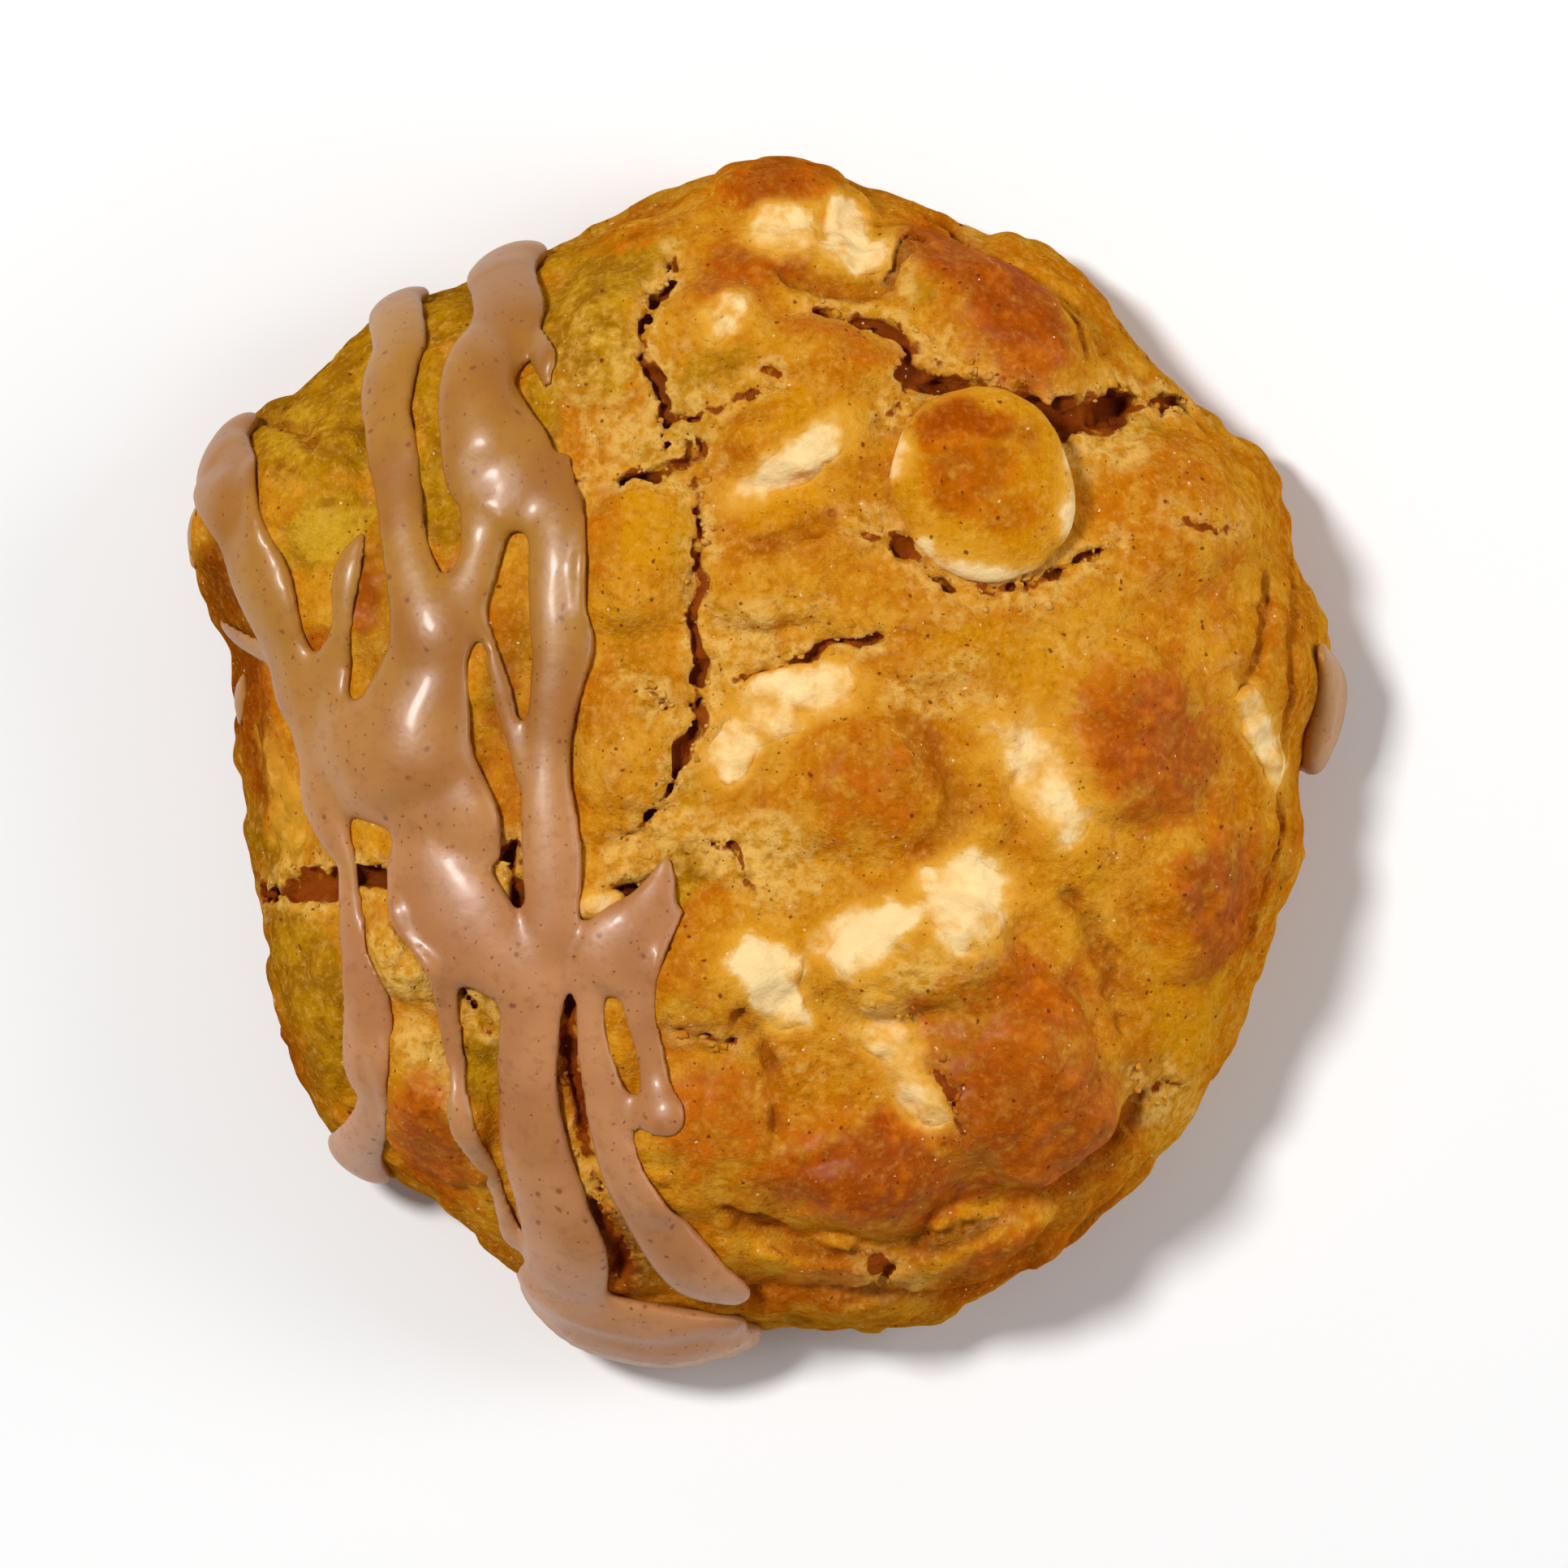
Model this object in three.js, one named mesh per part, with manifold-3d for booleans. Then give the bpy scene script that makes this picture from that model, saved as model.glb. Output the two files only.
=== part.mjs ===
// A thick spice cookie: one domed, cracked drop of baked dough with pieces of white chocolate that
// show through its crust, and ropes of spiced icing drizzled over its left side.
// Millimetres, +Z up. +X and +Y are the right and the top of the cookie seen from straight above.
// The origin lies under the middle of the cookie, in the plane of its flat underside.
import * as THREE from "three";
import { mergeVertices } from "three/addons/utils/BufferGeometryUtils.js";
import { SimplexNoise } from "three/addons/math/SimplexNoise.js";
import Module from "manifold-3d";

const wasm = await Module();
wasm.setup();

const DEGREE = Math.PI / 180;

// Dimensions of the whole cookie.
const CROWN_HEIGHT = 34; // top of the smooth dome, before the lumps
const WAIST_HEIGHT = 10; // where the cookie is widest
const BASE_SHARE = 0.93; // radius of the flat underside, as a share of the waist
const DOME_FLATNESS = 3; // power of the plan radius in the dome's curve: higher is flatter on top
const PLAN_SHIFT = { x: -0.09, y: -0.14 }; // brings the middle of the whole onto the origin

// The foot that met the tray and spread a little past the wall.
const FOOT_SPREAD = 1.4;
const FOOT_HEIGHT = 5.5;
const FOOT_HALF_THICKNESS = 4;

// The crust between the lumps.
const UNEVENNESS = 0.35;
const UNEVEN_SIZE = 7; // across one swell of the crust
const LUMP_REACH = 9; // how far up and down a lump on the wall reaches
const LUMP_MOST = 4; // the most that overlapping lumps rise together
const LEVEL_BELOW = 3; // height under which the lumps fade out towards the tray

// The icosahedron that becomes the dough.
const DOUGH_DETAIL = 14;
const WAIST_ANGLE = 118 * DEGREE; // angle from its top that becomes the waist
const BASE_ANGLE = 148 * DEGREE; // and the angle that becomes the edge of the underside

// Radius of the waist every ten degrees, counter-clockwise from +X.
const RIM_RADII = [
  46.9, 49.4, 49.6, 50.7, 48.0, 48.9, 49.6, 49.8, 50.3, 51.4, 49.2, 47.4,
  48.2, 50.6, 51.2, 53.4, 52.6, 46.6, 45.0, 44.5, 45.2, 47.8, 48.8, 47.8,
  47.9, 48.6, 49.0, 49.4, 50.0, 50.8, 49.5, 49.0, 48.3, 47.6, 46.9, 47.8,
];

// Lumps and slabs of the crust: plan centre, half length, half width, turn in degrees, rise.
const LUMPS = [
  { x: 1, y: 50.5, long: 8, wide: 5, turn: 0, rise: 2.4 },
  { x: 20, y: 40, long: 14, wide: 6.5, turn: -38, rise: 3.6 },
  { x: 26.5, y: 43, long: 9, wide: 4, turn: -42, rise: 1.6 },
  { x: 6, y: 35, long: 8.5, wide: 4.5, turn: -8, rise: 2.6 },
  { x: -14.5, y: 36.5, long: 10, wide: 6.5, turn: 80, rise: 2.2 },
  { x: -4.5, y: 38, long: 6, wide: 5, turn: 50, rise: 1.6 },
  { x: 2, y: 27.5, long: 8.5, wide: 5, turn: 20, rise: 2.2 },
  { x: 19, y: 24, long: 10.5, wide: 10, turn: 0, rise: 2 },
  { x: -11.5, y: 17.5, long: 8.5, wide: 6, turn: 90, rise: 2.6 },
  { x: 1.5, y: 15.5, long: 8, wide: 6, turn: 10, rise: 1.8 },
  { x: -11.5, y: 0.5, long: 8, wide: 5.5, turn: 80, rise: 2.4 },
  { x: 13, y: 11, long: 8, wide: 5, turn: -15, rise: 1.3 },
  { x: 8.5, y: -3, long: 9.5, wide: 8, turn: 20, rise: 3.2 },
  { x: 33, y: 2, long: 10.5, wide: 8, turn: -55, rise: 2.8 },
  { x: 38, y: 22, long: 10, wide: 9, turn: -50, rise: 1.8 },
  { x: 15, y: -18, long: 10, wide: 6.5, turn: 10, rise: 3.2 },
  { x: 23, y: -29, long: 12, wide: 10, turn: -40, rise: 3.4 },
  { x: 9, y: -36, long: 10.5, wide: 6.5, turn: 0, rise: 3.2 },
  { x: -4, y: -19, long: 8, wide: 7, turn: 30, rise: 2.4 },
  { x: -5, y: -34, long: 9, wide: 8, turn: 60, rise: 1.8 },
  { x: 38.5, y: -12.5, long: 7.5, wide: 6, turn: 80, rise: 2.6 },
  { x: 19, y: -42.5, long: 9, wide: 3.6, turn: 20, rise: 2 },
  { x: 4, y: -44, long: 8, wide: 3, turn: -3, rise: 1.4 },
  { x: -40, y: 24, long: 9, wide: 6, turn: 60, rise: 1.8 },
  { x: -48, y: 19, long: 6, wide: 4, turn: 80, rise: 1.5 },
  { x: -40, y: -20, long: 10, wide: 5, turn: 100, rise: 1.8 },
  { x: -31, y: -17, long: 6, wide: 3.5, turn: 110, rise: 2.2 },
  { x: -29, y: -31, long: 8, wide: 5.5, turn: 110, rise: 2.6 },
  { x: -33, y: 2, long: 8, wide: 8, turn: 0, rise: 1.4 },
  { x: -26, y: 31, long: 10, wide: 6, turn: 90, rise: 1.2 },
];

// Cracks of the crust: half width at the surface, depth, and the plan points each runs through.
const CRACKS = [
  { half: 0.9, deep: 3.2, path: [[-8.6, 43], [-10.3, 37], [-9.6, 33], [-9, 28.5]] },
  { half: 2.1, deep: 4.6, path: [[-13.4, 24.6], [-9.4, 25.4], [-5.6, 27.2]] },
  { half: 0.9, deep: 2.2, path: [[-7.6, 30.4], [-2.5, 31.4], [1, 33.4]] },
  { half: 1.1, deep: 3.6, path: [[-5.4, 24.6], [-5.2, 19.5], [-5.9, 14.5], [-5.7, 7]] },
  { half: 1.2, deep: 4.0, path: [[-5.8, 8], [-6, 2], [-9.4, -5], [-14, -10]] },
  { half: 1.3, deep: 2.8, path: [[4.8, 39.6], [9.4, 38], [14.2, 34.4]] },
  { half: 1.9, deep: 4.8, path: [[12.6, 34], [17, 33.2], [25, 30.9]] },
  { half: 2.1, deep: 5.0, path: [[23.5, 30.9], [28, 30.2], [32.4, 32.6]] },
  { half: 1.0, deep: 2.6, path: [[14.4, 34.6], [12.3, 31.4], [9.4, 29]] },
  { half: 1.2, deep: 2.6, path: [[9.6, 19], [13, 17.6], [17, 14.8], [24, 15.2]] },
  { half: 0.8, deep: 1.6, path: [[23.4, 15], [28, 17.5], [32.6, 20.4]] },
  { half: 0.9, deep: 3.0, path: [[-2.6, 7], [3.4, 9], [11, 9.8]] },
  { half: 1.6, deep: 4.0, path: [[-43, -12.4], [-39.5, -11], [-34, -10.4]] },
  { half: 1.7, deep: 4.2, path: [[-17.5, -14], [-12.5, -12.8], [-8.6, -10.4]] },
  { half: 1.5, deep: 4.0, path: [[-22.2, -8.4], [-21.8, -14]] },
  { half: 1.2, deep: 2.6, path: [[-17.3, -18], [-17, -29], [-14.4, -38]] },
  { half: 0.8, deep: 1.6, path: [[-8, -23.8], [-2.6, -25.4]] },
  { half: 1.3, deep: 2.4, path: [[9, -20], [13.4, -24], [17, -32]] },
  { half: 1.2, deep: 2.0, path: [[-2, -40.8], [7, -42.9], [17, -40.4], [26, -36.2], [34, -29.5]] },
];
const CRACK_CLEAR = 4; // how far above the crust the tool that opens a crack starts

// Pieces of white chocolate that break the crust: plan centre, half length, half width, turn.
const CHUNKS = {
  chocolate_centre: { x: 2.2, y: 4.6, long: 7, wide: 2.9, turn: 35 },
  chocolate_upper_streak: { x: 2.6, y: 25.8, long: 6.6, wide: 1.9, turn: 32 },
  chocolate_top_left: { x: 1.6, y: 47.2, long: 3.6, wide: 1.9, turn: 8 },
  chocolate_top_right: { x: 7.6, y: 45.8, long: 3, wide: 2.2, turn: 70 },
  chocolate_small: { x: -3.4, y: 39, long: 2.3, wide: 1.7, turn: 30 },
  chocolate_broad: { x: 13, y: -13, long: 8.6, wide: 3.5, turn: 24 },
  chocolate_left_square: { x: 1.2, y: -20, long: 4.1, wide: 2.9, turn: -55 },
  chocolate_lower: { x: 12.3, y: -27.6, long: 5, wide: 2, turn: -62 },
  chocolate_right: { x: 24, y: -1, long: 5.6, wide: 2.8, turn: -58 },
  chocolate_right_wall: { x: 43.6, y: 2, long: 4.8, wide: 1.6, turn: -62 },
  chocolate_left_wall: { x: -42.3, y: -4, long: 4.8, wide: 1.6, turn: -80 },
  chocolate_in_split: { x: -14.6, y: -12.8, long: 2.4, wide: 1.2, turn: 14 },
};
const CHUNK_CROWN = 0.9; // how far a chunk stands above the crust
const CHUNK_ROOT = 2.6; // how deep it sits
const CHUNK_SQUARENESS = 0.7; // below one, the pebble's sides flatten and its corners fill
const CHUNK_UNEVENNESS = 0.12;
const POCKET_GAP = 0.3; // clearance between a piece of chocolate and its pocket

// The whole wafer of white chocolate, baked in tilted with its lower left edge lifted.
const WAFER = { x: 18.9, y: 24, radius: 8.2, edge: 2.2, crown: 1.3, sink: 1.1 };
const WAFER_TILT = new THREE.Vector3(0.1, 0.12, 1);

// Ropes of icing. Each stop is plan x, plan y and width.
// A fourth number is the height above the tray, where a rope hangs down the wall.
const ROPES = [
  [[-47.2, 30.4, 2.6, 15], [-46.6, 27.6, 4.8, 18], [-45, 22.6, 4.6], [-43.4, 17, 5.2], [-39.6, 6.6, 5]],
  [[-47.4, 11.4, 1.6, 18], [-45, 10.2, 2], [-42.6, 8.8, 2.2]],
  [[-35.6, 18, 1.2], [-36.7, 14.6, 2.2], [-37.4, 7, 3]],
  [[-31.4, 41.4, 2.8, 14], [-31.8, 38.6, 4.8], [-33, 33, 5.2], [-32.7, 27, 5]],
  [[-32.7, 28, 5], [-32, 20.5, 4.2], [-30.6, 15, 5.6], [-30.4, 7, 7.6]],
  [[-21.8, 44.8, 4.4, 14], [-22.4, 41, 6], [-23.9, 35, 5.6], [-23.4, 27, 8], [-23.6, 20.6, 5.4],
    [-28, 11, 4.4]],
  [[-19.8, 38, 1.2], [-18.6, 34.4, 3], [-18.9, 32.6, 1.6]],
  [[-21.6, 28, 1.8], [-20, 25, 3], [-19.4, 22.6, 3.6]],
  [[-17.2, 25.8, 1.4], [-18, 22, 4], [-17.6, 16, 5.2], [-17.4, 9, 5], [-18.1, 1, 4.4], [-17.8, -8, 4.9]],
  [[-17.8, -7, 4.9], [-19.3, -20, 4.6], [-19.9, -27, 5.4], [-20, -33, 6], [-17, -45.5, 6.6, 13]],
  [[-24.6, 12, 1.4], [-23.4, 6.6, 2.2], [-22.7, 2.6, 2.7], [-19.4, -4.6, 2.4]],
  [[-25, -3, 6], [-23.2, -9.4, 2.6]],
  [[-38.6, -1, 4.6], [-37, -6, 3.4], [-36, -10.6, 2.3], [-35.5, -16, 3.5], [-34.8, -21.6, 3.8]],
  [[-34.9, -21, 3.8], [-33.9, -26, 4.6], [-34.3, -31, 3.4], [-35.2, -34.6, 4.4, 13], [-36.4, -35, 2.6, 11]],
  [[-28.4, -14, 3.2], [-27.4, -20, 2.8], [-24.6, -32, 1.8], [-22.6, -38.6, 1.8], [-20.4, -43, 2.6, 17]],
  [[-8.6, -9.6, 1.4], [-9.4, -12.2, 3.4], [-12, -15.8, 5.8], [-15, -19.4, 3.8], [-15, -24, 3.1],
    [-13.6, -28.6, 4.2]],
  [[-7.2, -13.4, 1.6], [-9.4, -16.6, 2.6], [-10.6, -21, 3.4], [-8.8, -31.2, 2.8]],
  [[-10.8, -26.4, 2.4], [-13, -29, 5.8], [-12.8, -34.6, 4.6], [-11.2, -39.4, 4.9], [-4.4, -45.4, 4.2, 15]],
  [[-20, -44, 5, 11], [-17.6, -46.8, 9, 9], [-13, -49.4, 10.4, 7.4], [-6, -50.4, 10.4, 6.6],
    [-1.2, -50, 5, 6.6]],
  [[46.6, 9, 2, 13], [48.4, 5.8, 3.6, 9], [48.6, 3.4, 5, 6.4], [48.6, 2, 3.6, 4.4]],
];
const BEAD_HEIGHT = 0.36; // height of a rope above the crust, as a share of its width
const BEAD_LEAST = 0.75; // and the least it stands proud

// Where the icing ran together into wide, thin pools: plan centre, half sizes, turn, thickness.
const POOLS = [
  { x: -33, y: -0.4, long: 9.6, wide: 7.2, turn: -32, thick: 1.5 },
  { x: -27, y: -12.8, long: 7.4, wide: 4.8, turn: -48, thick: 1.2 },
];

// Cross-sections swept along the crust. Each corner is across and up, clockwise from the top right.
const BEAD_PROFILE = [
  [0.38, 0.94], [0.84, 0.56], [1, -0.2], [0, -1.4], [-1, -0.2], [-0.84, 0.56], [-0.38, 0.94],
];
const CRACK_PROFILE = [[1, 1], [0, -1], [-1, 1]];
const SWEEP_STEP = 4.2; // length of one step along a rope or a crack
const END_BLUNTNESS = 0.12; // share of the width over which the end of a rope stays blunt

const WELD = 0.002; // vertices of the joined cookie closer than this become one

// Seeded, so that every build has the same crust.
let seed = 7;
const noise = new SimplexNoise({
  random: () => {
    seed = (seed * 16807) % 2147483647;
    return seed / 2147483647;
  },
});

// Waist radius at an angle: a smooth closed curve through RIM_RADII.
function rimRadius(angle) {
  const count = RIM_RADII.length;
  const place = (((angle / (2 * Math.PI)) * count) % count + count) % count;
  const low = Math.floor(place);
  const t = place - low;
  const [a, b, c, d] = [-1, 0, 1, 2].map((step) => RIM_RADII[(low + step + count) % count]);
  return b + 0.5 * t * (c - a + t * (2 * a - 5 * b + 4 * c - d + t * (3 * (b - c) + d - a)));
}

// Height of the smooth dome at a share of the way from its middle out to the waist.
function domeHeightAt(share) {
  return WAIST_HEIGHT + (CROWN_HEIGHT - WAIST_HEIGHT) * Math.sqrt(Math.max(0, 1 - share ** DOME_FLATNESS));
}

function domeHeight(x, y) {
  return domeHeightAt(Math.hypot(x, y) / rimRadius(Math.atan2(y, x)));
}

// Outward normal of the smooth form at a point on it.
function domeNormal(point) {
  const radius = Math.hypot(point.x, point.y);
  if (radius < 1e-6) return new THREE.Vector3(0, 0, 1);
  const rim = rimRadius(Math.atan2(point.y, point.x));
  const share = Math.min(radius / rim, 1);
  const outward = (DOME_FLATNESS * share ** (DOME_FLATNESS - 1)) / rim;
  const rise = CROWN_HEIGHT - WAIST_HEIGHT;
  const upward = (2 * Math.max(point.z - WAIST_HEIGHT, 0)) / rise ** 2;
  return new THREE.Vector3((outward * point.x) / radius, (outward * point.y) / radius, upward).normalize();
}

// The point of the smooth form that a unit direction of the icosahedron becomes.
// From its top it follows the dome to the waist, then the wall, then the flat underside.
// The dome takes most of the ball, because the lumps need its small triangles.
function smoothForm(direction) {
  const polar = Math.acos(THREE.MathUtils.clamp(direction.z, -1, 1));
  const angle = Math.atan2(direction.y, direction.x);
  let share = 0;
  let z = 0;
  if (polar <= WAIST_ANGLE) {
    share = Math.sin((polar / WAIST_ANGLE) * (Math.PI / 2));
    z = domeHeightAt(share);
  } else if (polar < BASE_ANGLE) {
    const down = (polar - WAIST_ANGLE) / (BASE_ANGLE - WAIST_ANGLE);
    share = 1 - (1 - BASE_SHARE) * down ** 2;
    z = WAIST_HEIGHT * (1 - down);
  } else {
    share = (BASE_SHARE * (Math.PI - polar)) / (Math.PI - BASE_ANGLE);
  }
  const radius = rimRadius(angle) * share;
  return new THREE.Vector3(radius * Math.cos(angle), radius * Math.sin(angle), z);
}

// A lump rises in a smooth mound over its own ellipse, and reaches LUMP_REACH up and down.
function lumpRise(point, lump) {
  const dx = point.x - lump.x;
  const dy = point.y - lump.y;
  const c = Math.cos(lump.turn * DEGREE);
  const s = Math.sin(lump.turn * DEGREE);
  const along = (dx * c + dy * s) / lump.long;
  const across = (dy * c - dx * s) / lump.wide;
  const up = (point.z - domeHeight(lump.x, lump.y)) / LUMP_REACH;
  const apart = along ** 2 + across ** 2 + up ** 2;
  return apart < 1 ? lump.rise * (1 - apart ** 2) ** 2 : 0;
}

// How far the crust stands out from the smooth form at a point of it.
function crustRise(point) {
  const lumps = LUMPS.reduce((sum, lump) => sum + lumpRise(point, lump), 0);
  const foot = FOOT_SPREAD * Math.exp(-(((point.z - FOOT_HEIGHT) / FOOT_HALF_THICKNESS) ** 2));
  const { x, y, z } = point.clone().divideScalar(UNEVEN_SIZE);
  const uneven = UNEVENNESS * noise.noise3d(x, y, z);
  return (Math.min(lumps, LUMP_MOST) + foot + uneven) * THREE.MathUtils.smoothstep(point.z, 0, LEVEL_BELOW);
}

// The crust over a plan point, or on the wall at a given height, with its outward normal.
function crustAt(x, y, height) {
  const keep = Math.min(1, rimRadius(Math.atan2(y, x)) / Math.hypot(x, y));
  const smooth = new THREE.Vector3(x * keep, y * keep, height ?? domeHeight(x, y));
  const normal = domeNormal(smooth);
  const point = smooth.clone().addScaledVector(normal, crustRise(smooth));
  return { point, normal };
}

function toSolid(geometry, weld = 1e-4) {
  geometry.deleteAttribute("normal");
  geometry.deleteAttribute("uv");
  const merged = mergeVertices(geometry, weld);
  return new wasm.Manifold(
    new wasm.Mesh({
      numProp: 3,
      vertProperties: merged.attributes.position.array,
      triVerts: new Uint32Array(merged.index.array),
    }),
  );
}

function toGeometry(solid) {
  const mesh = solid.getMesh();
  const geometry = new THREE.BufferGeometry();
  geometry.setAttribute("position", new THREE.BufferAttribute(mesh.vertProperties, 3));
  geometry.setIndex(new THREE.BufferAttribute(mesh.triVerts, 1));
  geometry.computeVertexNormals();
  return geometry;
}

// Moves every vertex of a geometry by a function of its position.
function reshape(geometry, move) {
  const position = geometry.attributes.position;
  const vertex = new THREE.Vector3();
  for (let i = 0; i < position.count; i += 1) {
    const moved = move(vertex.fromBufferAttribute(position, i));
    position.setXYZ(i, moved.x, moved.y, moved.z);
  }
  return geometry;
}

function doughSolid() {
  const ball = new THREE.IcosahedronGeometry(1, DOUGH_DETAIL);
  return toSolid(
    reshape(ball, (vertex) => {
      const smooth = smoothForm(vertex.clone().normalize());
      return smooth.clone().addScaledVector(domeNormal(smooth), crustRise(smooth));
    }),
  );
}

// Axes on the crust: along turned from +X in plan, across square to it, and out of the crust.
function crustAxes(normal, turn) {
  const along = new THREE.Vector3(Math.cos(turn * DEGREE), Math.sin(turn * DEGREE), 0);
  along.addScaledVector(normal, -along.dot(normal)).normalize();
  const across = new THREE.Vector3().crossVectors(normal, along);
  return { along, across };
}

// A chunk is a squarish, slightly uneven pebble, low above the crust and deep in it.
function chunkSolid(chunk, grow) {
  const { point, normal } = crustAt(chunk.x, chunk.y);
  const { along, across } = crustAxes(normal, chunk.turn);
  const pebble = new THREE.SphereGeometry(1, 12, 6);
  const square = (value) => Math.sign(value) * Math.abs(value) ** CHUNK_SQUARENESS;
  return toSolid(
    reshape(pebble, (v) => {
      const uneven = 1 + CHUNK_UNEVENNESS * noise.noise3d(v.x + chunk.x, v.y + chunk.y, v.z);
      const up = (v.z > 0 ? CHUNK_CROWN : CHUNK_ROOT) + grow;
      return point
        .clone()
        .addScaledVector(along, square(v.x) * (chunk.long * uneven + grow))
        .addScaledVector(across, square(v.y) * (chunk.wide * uneven + grow))
        .addScaledVector(normal, v.z * up);
    }),
  );
}

// The wafer is a turned disc with a rounded edge and a crowned top.
function waferSolid(grow) {
  const { radius, edge, crown } = WAFER;
  const half = edge / 2 + grow;
  const flat = radius + grow - half;
  const profile = [new THREE.Vector2(0, -half), new THREE.Vector2(flat, -half)];
  for (let turn = -60; turn <= 60; turn += 30) {
    profile.push(new THREE.Vector2(flat + half * Math.cos(turn * DEGREE), half * Math.sin(turn * DEGREE)));
  }
  for (const share of [0.85, 0.6, 0.3]) {
    profile.push(new THREE.Vector2(share * flat, half + crown * (1 - share ** 2)));
  }
  profile.push(new THREE.Vector2(0, half + crown));
  const disc = new THREE.LatheGeometry(profile, 26).rotateX(Math.PI / 2);
  const upright = new THREE.Vector3(0, 0, 1);
  disc.applyQuaternion(new THREE.Quaternion().setFromUnitVectors(upright, WAFER_TILT.clone().normalize()));
  const { point } = crustAt(WAFER.x, WAFER.y);
  return toSolid(disc.translate(point.x, point.y, point.z - WAFER.sink));
}

// The rings of a sweep: evenly spaced along the curve through the stops, and narrower at its ends.
// Each stop has a point and a normal of the crust, and the half width, rise and depth of its profile.
function sweepRings(stops) {
  const route = new THREE.CatmullRomCurve3(stops.map((stop) => stop.point));
  const length = route.getLength();
  const steps = Math.max(2, Math.round(length / SWEEP_STEP));
  return Array.from({ length: steps + 1 }, (_, ring) => {
    const share = ring / steps;
    const run = route.getTangentAt(share);
    const place = route.getUtoTmapping(share) * (stops.length - 1);
    const low = Math.min(Math.floor(place), stops.length - 2);
    const [from, to] = [stops[low], stops[low + 1]];
    const between = (name) => THREE.MathUtils.lerp(from[name], to[name], place - low);
    const normal = from.normal.clone().lerp(to.normal, place - low);
    normal.addScaledVector(run, -normal.dot(run)).normalize();
    const toEnd = Math.min(share, 1 - share) * length + 2 * END_BLUNTNESS * between("half");
    const narrow = Math.sqrt(1 - Math.max(0, 1 - toEnd / between("half")) ** 2);
    return {
      point: route.getPointAt(share),
      side: new THREE.Vector3().crossVectors(normal, run),
      normal,
      half: between("half") * narrow,
      rise: between("rise") * narrow,
      depth: between("depth") * narrow,
    };
  });
}

// A profile swept over the crust: a capped cylinder with one side for every corner of the profile.
function sweepSolid(stops, profile) {
  const rings = sweepRings(stops);
  const steps = rings.length - 1;
  const tube = new THREE.CylinderGeometry(1, 1, 1, profile.length, steps);
  return toSolid(
    reshape(tube, (v) => {
      const ring = rings[Math.round((0.5 - v.y) * steps)];
      const turn = Math.atan2(v.x, v.z) / (2 * Math.PI);
      const corner = Math.round((turn + 1) * profile.length) % profile.length;
      const [across, up] = Math.hypot(v.x, v.z) > 0.5 ? profile[corner] : [0, 0];
      return ring.point
        .clone()
        .addScaledVector(ring.side, across * ring.half)
        .addScaledVector(ring.normal, up * (up > 0 ? ring.rise : ring.depth));
    }),
  );
}

function ropeSolid(rope) {
  const stops = rope.map(([x, y, width, height]) => {
    const bead = Math.max(BEAD_HEIGHT * width, BEAD_LEAST);
    return { ...crustAt(x, y, height), half: width / 2, rise: bead, depth: bead };
  });
  return sweepSolid(stops, BEAD_PROFILE);
}

// The tool that opens a crack is a wedge that points into the crust and stands clear above it.
function crackSolid(crack) {
  const half = (crack.half * (crack.deep + CRACK_CLEAR)) / crack.deep;
  const stops = crack.path.map(([x, y]) => {
    return { ...crustAt(x, y), half, rise: CRACK_CLEAR, depth: crack.deep };
  });
  return sweepSolid(stops, CRACK_PROFILE);
}

// A pool is a thin lens of icing that follows the crust under it.
function poolSolid(pool) {
  const lens = new THREE.SphereGeometry(1, 14, 6).rotateX(Math.PI / 2);
  const c = Math.cos(pool.turn * DEGREE);
  const s = Math.sin(pool.turn * DEGREE);
  return toSolid(
    reshape(lens, (v) => {
      const along = v.x * pool.long;
      const across = v.y * pool.wide;
      const { point, normal } = crustAt(pool.x + along * c - across * s, pool.y + along * s + across * c);
      return point.addScaledVector(normal, v.z * pool.thick);
    }),
  );
}

// The largest body of a solid. A hollow that the joining sealed is another body, so it fills.
function largestBody(solid) {
  return solid.decompose().reduce((best, body) => (body.volume() > best.volume() ? body : best));
}

// Opens the cracks, joins the icing to the dough, and opens the pockets for the chocolate.
// Welding the vertices that lie closer than WELD closes the last hairline hollows.
function cookieSolid(pockets) {
  let whole = doughSolid();
  for (const crack of CRACKS) whole = whole.subtract(crackSolid(crack));
  for (const pool of POOLS) whole = whole.add(poolSolid(pool));
  for (const rope of ROPES) whole = whole.add(ropeSolid(rope));
  for (const pocket of pockets) whole = whole.subtract(pocket);
  return largestBody(toSolid(toGeometry(largestBody(whole)), WELD));
}

const bakedDough = new THREE.MeshStandardMaterial({ color: 0xc98538, roughness: 0.75, metalness: 0 });
const whiteChocolate = new THREE.MeshStandardMaterial({ color: 0xf3d58c, roughness: 0.45, metalness: 0 });

const cookie = new THREE.Group();
cookie.position.set(PLAN_SHIFT.x, PLAN_SHIFT.y, 0);

function place(name, solid, material) {
  const mesh = new THREE.Mesh(toGeometry(solid), material);
  mesh.name = name;
  cookie.add(mesh);
}

const chunkNames = Object.keys(CHUNKS);
const pockets = [...chunkNames.map((name) => chunkSolid(CHUNKS[name], POCKET_GAP)), waferSolid(POCKET_GAP)];
place("cookie", cookieSolid(pockets), bakedDough);
place("chocolate_wafer", waferSolid(0), whiteChocolate);
for (const name of chunkNames) place(name, chunkSolid(CHUNKS[name], 0), whiteChocolate);

export default cookie;
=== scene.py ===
# %% [markdown]
# # A thick spice cookie
# The solids of this cookie are already made: one domed drop of dough with its icing, and thirteen
# pieces of white chocolate. This notebook dresses them. The dough, the chocolate and the icing are
# worked out as fields, numbers in a box of voxels that are negative inside the food, and each field
# becomes a mesh where it crosses zero. That keeps ragged cracks, undercut edges and icing that runs
# together in one simple way of working. A plain pushed-out surface would stretch in the cracks.

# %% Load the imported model
import math
import time

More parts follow.
